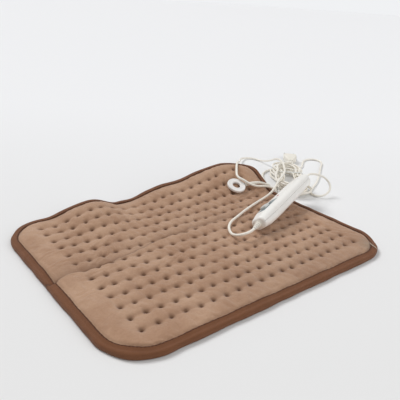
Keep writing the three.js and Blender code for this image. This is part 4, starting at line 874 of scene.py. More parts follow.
@dataclass
class PadForm:
    """The pad's plan, its layers' heights and the waves in which it lies."""

    length: float = 400.0
    width: float = 300.0
    corner: float = 50.0
    columns: int = 20
    rows: int = 13
    margin_x: float = 41.35
    margin_y: float = 32.4
    crown_inset: float = 24.0
    crown_top: float = 11.5
    crown_power: float = 1.3
    edge_inset: float = 1.6
    edge_top: float = 5.4
    edge_bottom: float = 1.4
    seam_dip: float = 0.8
    seam_span: Pair = (8.9, 12.0)
    corner_rise: float = 28.0
    corner_span: Pair = (-20.0, 160.0)
    corner_from: float = 54.0
    corner_to: float = 118.0
    corner_skew_share: float = 0.3
    hump: Wave = Wave(12.0, -80.0, (63.0, 45.0), (38.0, 128.0))
    swell: Wave = Wave(6.5, 28.0, (52.0, 52.0), (92.0, 152.0))
    flare_rise: float = 2.2
    flare_reach: float = 13.0
    flare_towards: Pair = (0.64, 0.77)
    flare_fade: float = 0.6

    @property
    def pitch(self) -> Pair:
        """Distances between tufts along X and Y."""
        along = (self.length - 2 * self.margin_x) / (self.columns - 1)
        across = (self.width - 2 * self.margin_y) / (self.rows - 1)
        return along, across

    @property
    def side(self) -> Pair:
        """Half lengths of the straight sides along X and Y."""
        return self.length / 2 - self.corner, self.width / 2 - self.corner

    def lift(self, x: Array, y: Array) -> Array:
        """Height of the pad's underside above the floor: the raised corner and two waves.

        Args:
            x: places along X.
            y: places along Y.

        Returns:
            The heights.
        """
        top = self.corner_to + self.corner_skew_share * np.maximum(self.length / 2 - x, 0)
        rising = np.clip((y - self.corner_from) / (top - self.corner_from), 0, 1)
        corner = self.corner_rise * smoothstep(x, *self.corner_span)
        corner = corner * rising * rising * (3 - 2 * rising)
        return corner + (self.hump.height(x, y) + self.swell.height(x, y))

    def inset(self, x: Array, y: Array) -> Array:
        """Distance inside the rounded outline."""
        over_x, over_y = np.abs(x) - self.side[0], np.abs(y) - self.side[1]
        beyond = np.hypot(np.maximum(over_x, 0), np.maximum(over_y, 0))
        return self.corner - beyond - np.minimum(np.maximum(over_x, over_y), 0)

    def flare(self, x: Array, y: Array) -> Array:
        """How much the edge is turned up on the sides away from the camera.

        Args:
            x: places along X.
            y: places along Y.

        Returns:
            The heights.
        """
        least = 0.01
        out_x = np.copysign(np.maximum(np.abs(x) - self.side[0], least), x)
        out_y = np.copysign(np.maximum(np.abs(y) - self.side[1], least), y)
        to_x, to_y = self.flare_towards
        facing = (out_x * to_x + out_y * to_y) / np.hypot(out_x, out_y)
        near_edge = 1 - smoothstep(self.inset(x, y), 0, self.flare_reach)
        return self.flare_rise * smoothstep(facing, 0, self.flare_fade) * near_edge

    def crown(self, inset: Array) -> Array:
        """Height of the stuffed pad over its underside: low at the edge, full inside."""
        share = np.clip((inset - self.edge_inset) / (self.crown_inset - self.edge_inset), 0, 1)
        dip = self.seam_dip * (1 - smoothstep(inset, *self.seam_span))
        full = 1 - (1 - share) ** self.crown_power
        return self.edge_top + (self.crown_top - self.edge_top) * full - dip

    def plan(self, inset: float, spacing: Pair) -> tuple[Array, Array]:
        """A grid that fills the outline at an inset.

        A row's ends lie on the outline: x = s X(y), with X = side + √(r² − (|y| − side)²)
        beside the corners.

        Args:
            inset: distance inside the pad's outline.
            spacing: steps along X and Y.

        Returns:
            The places along X and along Y.
        """
        radius, (side_x, side_y) = self.corner - inset, self.side
        middle = np.linspace(-side_y, side_y, 2 * int(side_y / spacing[1]) + 1)
        turn = np.linspace(0, QUARTER, int(radius * 1.25 / spacing[1]) + 1)[1:]
        upper = side_y + radius * np.sin(turn)
        y = np.concatenate([-upper[::-1], middle, upper])
        over = np.clip(np.abs(y) - side_y, 0, radius)
        half = side_x + np.sqrt(np.maximum(radius**2 - over**2, 0))
        share = np.linspace(-1, 1, 2 * int((side_x + radius) / spacing[0]) + 1)
        return half[:, None] * share[None, :], np.repeat(y[:, None], len(share), 1)

    def outline(self, step: float) -> tuple[Array, Array, Array]:
        """The outline's centres and outward directions, and the run along it.

        Args:
            step: distance between points on the straight sides.

        Returns:
            Centres (n × 2), directions (n × 2) and the run at inset 0.
        """
        corners = np.array([(1, -1), (1, 1), (-1, 1), (-1, -1)]) * np.array(self.side)
        centres, turns = [], []
        for k, corner in enumerate(corners):
            arc = int(self.corner * QUARTER / step)
            turn = (k - 1 + np.arange(arc + 1) / arc) * QUARTER
            following = corners[(k + 1) % len(corners)]
            steps = int(np.linalg.norm(following - corner) / step)
            share = np.arange(1, steps)[:, None] / steps
            centres += [np.repeat(corner[None], len(turn), 0), corner + (following - corner) * share]
            turns += [turn, np.full(steps - 1, k * QUARTER)]
        centre, turn = np.vstack(centres), np.concatenate(turns)
        direction = np.stack([np.cos(turn), np.sin(turn)], -1)
        edge = centre + self.corner * direction
        return centre, direction, run_of(np.vstack([edge, edge[:1]]))


@dataclass
class Quilt:
    """The stuffed part of the pad: plush covers, tufts and fleece waddings."""

    form: PadForm
    fine: Pair = (1.5, 1.5)
    middling: Pair = (2.0, 2.0)
    coarse: Pair = (4.2, 4.1)
    cloth: float = 1.2
    fleece: float = 0.6
    gap: float = 0.3
    cloth_gap: float = 0.7
    drawn_share: float = 0.08
    drawn_inset: float = 9.5
    seed: int = 5
    jitter: float = 0.7
    depth_spread: float = 0.12
    depth_range: Pair = (0.7, 1.2)
    tuft_depth: float = 3.6
    tuft_shares: Pair = (0.58, 0.42)
    tuft_core: float = 1.9
    tuft_pull: float = 5.0
    # tuft_shade: painted shade in the tufts' hollows
    tuft_shade: float = 0.95
    channel_depth: float = 2.1
    channel_reach: float = 3.8
    # nap_shade: painted shade on the far side of each row of tufts, whose slope faces away from the key
    # light
    nap_rise: Pair = (-0.8, 0.6)
    nap_reach: float = 5.0
    nap_shade: float = 0.17
    # flat_shade: painted shade that grows towards the pad's near edge, for the light's fall-off
    flat_x: Pair = (-120.0, 20.0)
    flat_front: Pair = (50.0, 150.0)
    flat_shade: float = 0.16
    shade_inset: Pair = (12.0, 20.0)
    slow_waves: tuple[tuple[float, int, float], ...] = ((0.28, 3, 42.0), (0.12, 4, 13.0))
    fold_line: tuple[Pair, ...] = (
        (-200, -4), (-186, -2), (-169, -1), (-150, -2), (-127, 1), (-98, 7),
        (-68, 12), (-25, 19), (18, 23), (56, 23), (130, 14),
    )
    fold_wander: float = 1.2
    fold_wander_from: Pair = (-170.0, -120.0)
    fold_drop: float = 4.6
    fold_ridge: float = 0.8
    fold_sharpness: float = 1.1
    fold_far: float = 12.0
    fold_near: float = 10.0
    fold_slope: float = 11.0
    fold_inset: Pair = (-2.0, 9.0)
    fold_fades: tuple[Triple, Triple] = ((0.62, -162.0, -104.0), (0.38, 20.0, 130.0))
    # crease_shades: painted shade in the crease and on the far slope beyond it
    crease_off: float = 0.8
    crease_reach: float = 1.7
    crease_shades: Pair = (0.4, 0.56)
    crease_fade: float = 0.8
    streaks: tuple[tuple[float, float, float, float, float], ...] = (
        (-122, 44, 17, 4, 0.5), (-130, 16, 15, 4, 0.6), (-150, -16, 15, 4, 0.2),
        (-112, 28, 10, 5, 1.1), (-176, 26, 12, 3, 0.1), (-172, 52, 12, 3, 0.2),
        (-178, -44, 11, 3, 0.3), (134, 60, 24, 4, 0.25), (166, 44, 16, 3, 0.1),
        (-60, -30, 22, 3, 0.35), (40, -70, 24, 3, 0.3),
    )
    streak_length: float = 6.0
    streak_depth: float = 0.55
    streak_bow: float = 1.3
    streak_bow_turn: float = 1.7

    def tufting(self, x: Array, y: Array) -> tuple[Array, Array, Array]:
        """Depth of the tufts: a narrow core and a wide pull round each, joined along rows.

        Args:
            x: places along X.
            y: places along Y.

        Returns:
            How far the cloth lies below a smooth crown, the cores alone from 0 to 1, and
            where the pile leans against the view, on the far side of each row.
        """
        form, rng = self.form, np.random.default_rng(self.seed)
        pitch_x, pitch_y = form.pitch
        shape = (form.columns, form.rows)
        middle_x, middle_y = (form.columns - 1) / 2, (form.rows - 1) / 2
        shift_x, shift_y = rng.normal(0, self.jitter, (2, *shape))
        depth = np.clip(1 + rng.normal(0, self.depth_spread, shape), *self.depth_range)
        column = np.clip(np.rint(x / pitch_x + middle_x), 0, form.columns - 1).astype(int)
        row = np.clip(np.rint(y / pitch_y + middle_y), 0, form.rows - 1).astype(int)
        away_x = x - (column - middle_x) * pitch_x
        away_y = y - (row - middle_y) * pitch_y
        near_x = away_x - shift_x[column, row] * blob(away_x, pitch_x / 4)
        near_y = away_y - shift_y[column, row] * blob(away_y, pitch_y / 4) * blob(away_x, pitch_x / 5)
        distance = np.hypot(near_x, near_y)
        core = blob(distance, self.tuft_core)
        pull = np.exp(-distance / self.tuft_pull)
        along = smoothstep(middle_x * pitch_x + pitch_x / 2 - np.abs(x), 0, pitch_x / 2)
        channel = self.channel_depth * np.exp(-np.abs(near_y) / self.channel_reach) * along
        # painted shade share on the far side of each row, whose slope faces away from the key light
        leaning = np.exp(-np.maximum(near_y, 0) / self.nap_reach)
        lean = along * smoothstep(near_y, *self.nap_rise) * leaning
        core_share, pull_share = self.tuft_shares
        tuft = self.tuft_depth * depth[column, row] * (core_share * core + pull_share * pull)
        return tuft + channel, core, lean

    def fold(self, x: Array, y: Array) -> tuple[Array, Array]:
        """The storage fold, a sharp drop on its far side, deepest at the left edge.

        Args:
            x: places along X.
            y: places along Y.

        Returns:
            Heights that are added to the cloth, and the painted shade in the crease and on the far slope
            beyond it.
        """
        line = np.array(self.fold_line, float)
        wander = self.fold_wander * Waviness(12, 38, 6)(x, np.zeros_like(x))
        off = y - np.interp(x, line[:, 0], line[:, 1]) - wander * smoothstep(x, *self.fold_wander_from)
        (lost, *left), (lost_too, *right) = self.fold_fades
        fade = 1 - lost * smoothstep(x, *left) - lost_too * smoothstep(x, *right)
        side = smoothstep(off, -self.fold_sharpness, self.fold_sharpness)
        far = np.exp(-np.maximum(off, 0) / self.fold_far)
        near = np.exp(np.minimum(off, 0) / self.fold_near)
        raised = self.fold_ridge * near * (1 - side) - self.fold_drop * far * side
        # painted shade on the far slope, which faces away from the key light, and in the crease
        slope = np.exp(-np.maximum(off, 0) / self.fold_slope) * side
        crease = blob(off - self.crease_off * self.fold_sharpness, self.crease_reach)
        dark = self.crease_shades[0] * crease + self.crease_shades[1] * slope
        return fade * raised, fade**self.crease_fade * dark

    def streaking(self, x: Array, y: Array) -> Array:
        """Heights of fine wrinkles in a few places beside the fold.

        Args:
            x: places along X.
            y: places along Y.

        Returns:
            The heights.
        """
        total = np.zeros(np.broadcast(x, y).shape)
        for k, (at_x, at_y, reach, waves, turn) in enumerate(self.streaks):
            along = (x - at_x) * math.cos(turn) + (y - at_y) * math.sin(turn)
            across = (y - at_y) * math.cos(turn) - (x - at_x) * math.sin(turn)
            bowed = across + self.streak_bow * np.sin(along / reach * self.streak_bow_turn + k)
            near = blob(along, reach) * blob(across, waves * self.streak_length / 4)
            total += np.sin(bowed * TURN / self.streak_length) * near
        return self.streak_depth * total

    def top(self, x: Array, y: Array) -> Array:
        """Height of the plush top: lift, crown, tufts, creases and slow waves.

        Args:
            x: places along X.
            y: places along Y.

        Returns:
            The heights.
        """
        form = self.form
        inset = form.inset(x, y)
        inner = smoothstep(inset, form.edge_inset, form.crown_inset)
        slow = sum(height * Waviness(seed, length)(x, y) for height, seed, length in self.slow_waves)
        depth, core, _ = self.tufting(x, y)
        shaped = self.streaking(x, y) + slow - depth
        folded = self.fold(x, y)[0] * smoothstep(inset, *self.fold_inset) * (1 - core)
        return form.lift(x, y) + form.crown(inset) + form.flare(x, y) + inner * shaped + folded

    def bottom(self, x: Array, y: Array) -> Array:
        """Height of the underside: flat on the floor, drawn up at tufts and at the edge.

        Args:
            x: places along X.
            y: places along Y.

        Returns:
            The heights.
        """
        form = self.form
        inset = form.inset(x, y)
        inner = smoothstep(inset, form.edge_inset, form.crown_inset)
        rising = 1 - smoothstep(inset, form.edge_inset, self.drawn_inset)
        drawn = self.drawn_share * self.tufting(x, y)[0] * inner
        return form.lift(x, y) + form.edge_bottom * rising + drawn

    def creased(self, x: Array, y: Array) -> Array:
        """Painted shade on the plush: in the tufts' hollows, in the fold, on the rows' far slopes and
        towards the near edge.

        Args:
            x: places along X.
            y: places along Y.

        Returns:
            The shades, from 0 to 1.
        """
        _, core, lean = self.tufting(x, y)
        inner = smoothstep(self.form.inset(x, y), *self.shade_inset)
        # painted shade in the tufts' hollows and in the fold's crease
        hollow_shade = np.maximum(self.tuft_shade * core * inner, self.fold(x, y)[1])
        # painted shade that grows towards the near edge, for the light's fall-off
        flat = self.flat_shade * smoothstep(-y, *self.flat_front) * smoothstep(x, *self.flat_x)
        return np.clip(hollow_shade + self.nap_shade * lean * inner + flat, 0, 1)

    def sheet(
        self,
        name: str,
        height: Surface,
        spacing: Pair,
        thickness: float,
        inset: float,
        added: Surface | None = None,
        shade: Surface | None = None,
    ) -> Piece:
        """One cloth of the pad as a closed layer below or above its face.

        Args:
            name: the piece's name.
            height: height of its face.
            spacing: steps of its grid.
            thickness: how far the other face lies below, or above where it is negative.
            inset: distance of its edge from the pad's outline.
            added: movement that is added, by share of the half length and place along Y.
            shade: painted shade on its finish, from 0 to 1.

        Returns:
            The layer.
        """
        x, y = self.form.plan(inset, spacing)
        face = np.stack([x, y, height(x, y)], -1)
        if added:
            face = face + added(np.linspace(-1, 1, x.shape[1]), y[:, 0])
        other = face - thickness * UP
        quads, ids = grid_quads(*x.shape), np.arange(x.size).reshape(x.shape)
        rim = np.concatenate([ids[0], ids[1:, -1], ids[-1, -2::-1], ids[-2:0:-1, 0]])
        after = np.roll(rim, -1)
        sides = np.stack([rim, after, after + x.size, rim + x.size], -1)
        faces = np.vstack([quads, quads[:, ::-1] + x.size, sides[:, ::-1]])
        dark = np.tile(shade(x, y).reshape(-1), 2) if shade else None
        return outward(new_piece(name, np.concatenate([face, other]), faces, shade=dark))

    def build(self) -> None:
        """Makes both covers and both waddings."""
        edge, fleece = self.form.edge_inset, FLEECE.material()
        puffed = Puffing(self).field()
        top = self.sheet("cover_top", self.top, self.fine, self.cloth, edge, puffed, self.creased)
        dress(top, PLUSH.material(), "plush", "top_cover")
        bottom = self.sheet("cover_back", self.bottom, self.coarse, -self.cloth, edge)
        dress(bottom, PLUSH_BACK.material(), "backing", "bottom_cover")


        def high(x: Array, y: Array) -> Array:
            """Top of the upper wadding, a small gap under the top cloth."""
            return self.top(x, y) - self.cloth - self.cloth_gap

        def low(x: Array, y: Array) -> Array:
            """Underside of the lower wadding, a small gap over the back cloth."""
            return self.bottom(x, y) + self.cloth + self.gap

        inset = 2 * edge + self.cloth + self.form.margin_y / 3
        upper = self.sheet("wadding_high", high, self.middling, self.fleece, inset)
        dress(upper, fleece, "fleece", "upper_wadding")
        lower = self.sheet("wadding_low", low, self.coarse, -self.fleece, inset)
        dress(lower, fleece, "fleece", "lower_wadding")


@dataclass
class Puffing:
    """A cloth simulation that swells the plush between its tufts."""

    quilt: Quilt
    spacing: Pair = (3.35, 3.3)
    frames: int = 20
    quality: int = 6
    mass: float = 0.25
    stretch_stiffness: float = 12
    shear_stiffness: float = 4
    bending_stiffness: float = 0.25
    pressure: float = 3.2
    growth: float = 0.035
    cap: Triple = (0.6, 0.6, 1.1)
    drop: float = 0.1
    pin_inset: float = 10.0
    pin_reach: float = 2.35238

    def pinned(self, start: Array) -> Piece:
        """The coarse cloth, pinned at its edge and at its tufts.

        Args:
            start: its points, rows × columns × 3.

        Returns:
            The cloth.
        """
        quilt, (x, y) = self.quilt, (start[..., 0], start[..., 1])
        cloth = new_piece("puffing", start, grid_quads(*x.shape))
        pins = cloth.vertex_groups.new(name="pins")
        in_tuft = quilt.tufting(x, y)[1] > blob(self.pin_reach, quilt.tuft_core)
        held = in_tuft | (quilt.form.inset(x, y) < self.pin_inset)
        pins.add(np.flatnonzero(held.reshape(-1)).tolist(), 1.0, "REPLACE")
        settings = cloth.modifiers.new("cloth", "CLOTH").settings
        settings.quality = self.quality
        settings.mass = self.mass
        settings.tension_stiffness = settings.compression_stiffness = self.stretch_stiffness
        settings.shear_stiffness = self.shear_stiffness
        settings.bending_stiffness = self.bending_stiffness
        settings.use_pressure = True
        settings.uniform_pressure_force = self.pressure
        settings.shrink_min = -self.growth
        settings.vertex_group_mass = pins.name
        settings.effector_weights.gravity = 0
        return cloth

    def field(self) -> Surface | None:
        """Returns:
            The cloth's movement by share of the half length and place along Y, or None.
        """
        x, y = self.quilt.form.plan(self.quilt.form.edge_inset, self.spacing)
        start = np.stack([x, y, self.quilt.top(x, y)], -1)
        cloth = self.pinned(start)
        scene = bpy.context.scene
        for frame in range(1, self.frames + 1):
            scene.frame_set(frame)
        co = np.zeros(x.size * 3)
        finished_mesh(cloth).vertices.foreach_get("co", co)
        scene.frame_set(1)
        bpy.data.objects.remove(cloth)
        moved = co.reshape(*x.shape, 3) / MM - start
        log.info("puffing moves up to %.2f mm", float(np.abs(moved).max()))
        cap = np.array(self.cap)
        moved = cap * np.tanh(moved / cap)
        moved[..., 2] = np.maximum(moved[..., 2], -self.drop)
        shares, rows = np.linspace(-1, 1, x.shape[1]), y[:, 0]

        def movement(share: Array, row: Array) -> Array:
            """The movement at shares and rows, between the simulated points."""
            by_row = between(row, rows, moved)
            return between(share, shares, by_row.swapaxes(0, 1)).swapaxes(0, 1)

        return movement


@dataclass
class EdgeTape:
    """The folded tape sewn round the pad, with its join and its row of stitches."""

    quilt: Quilt
    width: float = 9.0
    cloth: float = 0.8
    gap: float = 0.3
    nose: float = 3.0
    step: float = 2.0
    section_step: float = 0.75
    join_y: float = 2.0
    join_reach: float = 26.0
    join_step: float = 0.9
    join_half: float = 0.6
    join_slant_share: float = 0.8
    # join_shade and edge_shade: painted shade in the join's step and along the tape's inner edge, where
    # it stands over the cover
    join_shade: float = 0.9
    join_line: float = 1.1
    edge_shade: float = 0.55
    edge_line: float = 0.9
    wander: float = 0.22
    pucker: float = 0.16
    pucker_length: float = 7.5
    pucker_reach: float = 2.5
    stitch_inset: float = 7.4
    stitch_length: float = 2.5
    stitch_pitch: float = 3.3
    stitch_radius: float = 0.3
    stitch_sides: int = 6
    stitch_form: tuple[Triple, ...] = (
        (-0.5, 0.25, -0.3), (-0.42, 0.8, -0.05), (-0.2, 1.0, 0.1),
        (0.2, 1.0, 0.1), (0.42, 0.8, -0.05), (0.5, 0.25, -0.3),
    )
    thread_radius: float = 0.55
    thread_over: float = 2.2
    thread_thin: float = 0.45
    thread_line: tuple[Triple, ...] = (
        (174.4, -131.4, 0.1), (173.2, -135.2, 0.1), (173.3, -139.6, 0.4), (172.4, -143.9, 0.4),
    )

    def section(self) -> Array:
        """The tape's outer face, as inset and height from its top edge to its lower edge.

        Returns:
            Pairs of inset and height.
        """
        form, width = self.quilt.form, self.width
        rise = self.gap + self.cloth
        at_width, middle = (float(form.crown(np.array(inset))) for inset in (width, width * 0.5))
        over = [(width, at_width - 0.35), (width - 0.5, at_width), (width * 0.5, middle + 0.15)]
        over = [(inset, height + rise) for inset, height in over]
        edge = [(form.edge_inset, form.edge_top + rise + 0.1), (0.35, form.edge_top - 0.1)]
        under = [(0.0, self.nose), (0.3, 1.1), (form.edge_inset, 0.12), (width * 0.5, 0.0), (width, 0.0)]
        flat = np.array([(*point, 0.0) for point in over + edge + under])
        return smooth_line(flat, self.section_step)[:, :2]

    def rings(self) -> tuple[Array, Array, Array, Array]:
        """The tape's section carried round the outline.

        Returns:
            Points (run × section × 3), the run, the lengths across the section, and how
            dark the tape is at each point.
        """
        form, width = self.quilt.form, self.width
        outer = self.section()
        tangent = unit(np.gradient(outer, axis=0))
        normal = np.stack([-tangent[:, 1], tangent[:, 0]], -1)
        inward = normal if normal[len(normal) // 2, 0] > 0 else -normal
        section = np.vstack([outer, (outer + self.cloth * inward)[::-1]])
        away = np.vstack([-inward, np.zeros_like(inward)])
        inset_at, height_at = section[None, :, 0], section[None, :, 1]
        centre, direction, run = form.outline(self.step)
        edge = centre + form.corner * direction
        on_left = (direction[:, 0] < -0.99)[:, None]
        off = edge[:, 1:2] - self.join_y + self.join_slant_share * inset_at
        lap = on_left * (1 - smoothstep(off, -self.join_half, self.join_half))
        lap = lap * np.exp(np.minimum(off, 0) / self.join_reach)
        lap = lap * (1 - smoothstep(inset_at, 0.4 * width, width))
        wander = self.wander * Waviness(21, 34)(edge[:, 0], edge[:, 1])[:, None]
        puckers = self.pucker * np.sin(run[:-1] * TURN / self.pucker_length)[:, None]
        puckers = puckers * blob(inset_at - width, self.pucker_reach)
        grow = wander + puckers + self.join_step * lap
        inset = inset_at + grow * away[None, :, 0]
        height = height_at + grow * away[None, :, 1] * (height_at > 0.5)
        xy = centre[:, None] + (form.corner - inset)[..., None] * direction[:, None]
        x, y = xy[..., 0], xy[..., 1]
        turned = form.flare(x, y) + self.quilt.fold(x, y)[0] * smoothstep(inset, -2, width)
        z = form.lift(x, y) + np.maximum(height, 0) + smoothstep(height, 1.5, 4) * turned
        # painted shade in the step where the tape's ends overlap, and along its inner edge, where it
        # stands over the cover
        seam = on_left * blob(off, self.join_line) * smoothstep(height, 0.5, 2)
        inner = blob(inset_at - width, self.edge_line) * (height_at > self.nose)
        dark = np.maximum(self.join_shade * seam, self.edge_shade * inner)
        across = run_of(section)
        across = np.append(across, across[-1] + self.cloth)
        return np.concatenate([xy, z[..., None]], -1), run, across, dark

    def build(self) -> None:
        """Makes the tape, its stitches and a loose thread."""
        rings, run, across, dark = self.rings()
        rows, columns = rings.shape[:2]
        faces = grid_quads(rows, columns, round_rows=True, round_columns=True)
        uv = grid_uv(rows, columns, across * MM, run * MM)
        tape = outward(new_piece("edge_tape", rings, faces, uv=uv, shade=dark))
        dress(tape, BINDING_TAPE.material(), "binding", "edge_binding")
        dress(self.stitches(rings), THREAD.material(), "binding")
        dress(self.loose_thread(), LOOSE_THREAD.material(), "binding")

    def loose_thread(self) -> Piece:
        """A light thread end that lies over the tape at the near right corner.

        Returns:
            The thread.
        """
        form, line = self.quilt.form, smooth_line(np.array(self.thread_line), 0.8)
        x, y = line[:, 0], line[:, 1]
        over = self.gap + self.cloth + self.thread_over * self.thread_radius
        line[:, 2] += form.lift(x, y) + form.crown(form.inset(x, y)) + over
        share = np.linspace(0, 1, len(line))
        girth = self.thread_radius * (1 - self.thread_thin * smoothstep(share, 0.7, 1))
        return tube("loose_thread", line, girth, sides=8)

    def stitches(self, rings: Array) -> Piece:
        """A row of short threads along the tape, a capsule for each.

        Args:
            rings: the tape's points, whose outer face comes first.

        Returns:
            The stitches as one piece.
        """
        inset, sides = self.section()[:, 0], self.stitch_sides
        column = int(np.argmin(np.abs(inset[: len(inset) // 2] - self.stitch_inset)))
        line = np.vstack([rings[:, column], rings[:1, column]])
        run = run_of(line)
        count = int(run[-1] / self.stitch_pitch)
        share, girth, depth = np.array(self.stitch_form).T
        middle = np.arange(count) * run[-1] / count
        at = (middle[:, None] + share[None] * self.stitch_length) % run[-1]
        spine = np.stack([np.interp(at, run, line[:, axis]) for axis in range(3)], -1)
        spine[..., 2] += depth
        along = unit(spine[:, -1] - spine[:, 0])[:, None]
        side = unit(np.cross(along, UP))
        top = np.cross(side, along)
        turn = circle(sides)[None, None, :, None]
        rim = side[:, :, None] * np.cos(turn) + top[:, :, None] * np.sin(turn)
        points = spine[:, :, None] + (girth * self.stitch_radius)[None, :, None, None] * rim
        one, size = grid_quads(len(share), sides, round_columns=True), len(share) * sides
        starts = np.arange(count) * size
        quads = (one[None] + starts[:, None, None]).reshape(-1, 4).tolist()
        first = [list(range(s, s + sides))[::-1] for s in starts]
        last = [list(range(s + size - sides, s + size)) for s in starts]
        return outward(new_piece("edge_stitches", points, quads + first + last))


# Cord anchor


@dataclass
class CordAnchor:
    """The moulded ring on the raised corner and the sleeve that leads the cord away."""

    form: PadForm
    at: Pair = (137.0, 84.0)
    standoff: float = 15.0
    radius: float = 14.5
    bore: float = 6.0
    thickness: float = 4.2
    edge: float = 1.4
    dish: float = 0.35
    gap: float = 0.3
    sleeve_turn: float = math.radians(-12)
    sleeve_straight: float = 4.0
    sleeve_route: tuple[Triple, ...] = ((168, 79, 23), (181, 77.2, 21.8), (190.5, 75.4, 19))
    sleeve_radii: Pair = (2.9, 2.2)
    ridges: int = 9
    ridge_depth: float = 0.22
    ridges_from: Pair = (0.35, 0.4)
    edge_steps: int = 6
    dish_steps: int = 13
    line_step: float = 0.6

    def frame(self) -> Matrix:
        """A frame on the pad's slope: x along it, z off the surface.

        Returns:
            The frame.
        """
        (x, y), reach = self.at, self.form.pitch[1] / 2

        def lift(step_x: float, step_y: float) -> float:
            """The pad's lift at a step from the ring's middle."""
            return float(self.form.lift(np.array(x + step_x), np.array(y + step_y)))

        slope_x = (lift(reach, 0) - lift(-reach, 0)) / (2 * reach)
        slope_y = (lift(0, reach) - lift(0, -reach)) / (2 * reach)
        normal = unit(np.array([-slope_x, -slope_y, 1.0]))
        along = unit(np.array([1.0, 0.0, slope_x]))
        place = np.array([x, y, lift(0, 0) + self.standoff])
        return frame_of(along, np.cross(normal, along), normal, place)

    def ring_profile(self) -> list[Pair]:
        """The ring's section, round at its four edges and a little dished on top.

        Returns:
            Pairs of radius and height.
        """
        half, edge = self.thickness / 2, self.edge
        outer, inner, high = self.radius - edge, self.bore + edge, half - edge
        centres = [(outer, high), (inner, high), (inner, -high), (outer, -high)]
        points = []
        for quarter, (radius, height) in enumerate(centres):
            for turn in (quarter + np.arange(self.edge_steps + 1) / self.edge_steps) * QUARTER:
                points.append((radius + edge * math.cos(turn), height + edge * math.sin(turn)))
            if quarter == 0:
                flat = np.linspace(outer, inner, self.dish_steps + 1)[1:-1]
                dish = self.dish * np.sin(np.linspace(0, np.pi, len(flat))) ** 0.5
                points += list(zip(flat, half - dish))
        return [*points, points[0]]

    def sleeve_line(self) -> Array:
        """The sleeve's middle line, straight out of the ring first.

        Returns:
            Its points.
        """
        frame = self.frame()
        place = np.array(frame.translation)
        turn = self.sleeve_turn
        out = inside(frame, np.array([math.cos(turn), math.sin(turn), 0.0])) - place
        start = place + out * (self.radius + self.gap)
        return np.vstack([start, start + out * self.sleeve_straight, np.array(self.sleeve_route)])

    def exit(self) -> tuple[Array, Array]:
        """Where the sleeve lets the cord out, and in which direction."""
        line = self.sleeve_line()
        return line[-1], unit(line[-1] - line[-2])

    def build(self) -> None:
        """Makes the ring and the sleeve."""
        ring = lathe("anchor_ring", self.ring_profile(), self.frame(), sides=96)
        dress(ring, WHITE_RING.material(), "ring_plastic", "cord_anchor_ring")
        line = smooth_line(self.sleeve_line(), self.line_step)
        share = np.linspace(0, 1, len(line))
        ridges = self.ridge_depth * np.clip(np.sin(share * TURN * self.ridges), 0, 1)
        radii = lerp(*self.sleeve_radii, share) - ridges * smoothstep(share, *self.ridges_from)
        sleeve = tube("anchor_sleeve", line, radii, sides=24)
        dress(sleeve, SOFT_RELIEF.material(), "soft_vinyl", "pad_sleeve")


# Hand controller


def rounded_section(half_wide: Array, half_thick: Array, radius: Array, steps: int) -> Array:
    """Rounded rectangles about a line, one for each station.

    Args:
        half_wide: half widths of the stations.
        half_thick: half thicknesses of the stations.
        radius: their corner radii.
        steps: faces round each corner.

    Returns:
        Stations × points around × 2.
    """
    quarter = np.repeat(np.arange(4), steps + 1)
    angle = quarter * QUARTER + np.tile(np.linspace(0, QUARTER, steps + 1), 4)
    sign_wide = np.where((quarter == 0) | (quarter == 3), 1, -1)
    sign_thick = np.where(quarter < 2, 1, -1)
    wide = sign_wide * (half_wide - radius)[:, None] + radius[:, None] * np.cos(angle)
    thick = sign_thick * (half_thick - radius)[:, None] + radius[:, None] * np.sin(angle)
    return np.stack([wide, thick], -1)


def set_up(u: Array, flat: Array) -> Array:
    """Sections set up at places along x: stations × points around × 3."""
    return np.concatenate([np.repeat(u[:, None, None], flat.shape[1], 1), flat], -1)


def stations(low: float, high: float, radius: float, turns: int, steps: int) -> tuple[Array, Array]:
    """Places along a body with rounded ends.

    Args:
        low: where the body starts.
        high: where it ends.
        radius: rounding of its ends.
        turns: places round each end.
        steps: places along the middle, with its ends.

    Returns:
        The places, and how far the rounding draws the body in at each.
    """
    turn = np.linspace(0, QUARTER, turns)
    depth, rounding = radius * (1 - np.cos(turn)), radius * (1 - np.sin(turn))
    middle = np.linspace(low + radius, high - radius, steps)[1:-1]
    places = np.concatenate([low + depth, middle, high - depth[::-1]])
    return places, np.concatenate([rounding, np.zeros(len(middle)), rounding[::-1]])


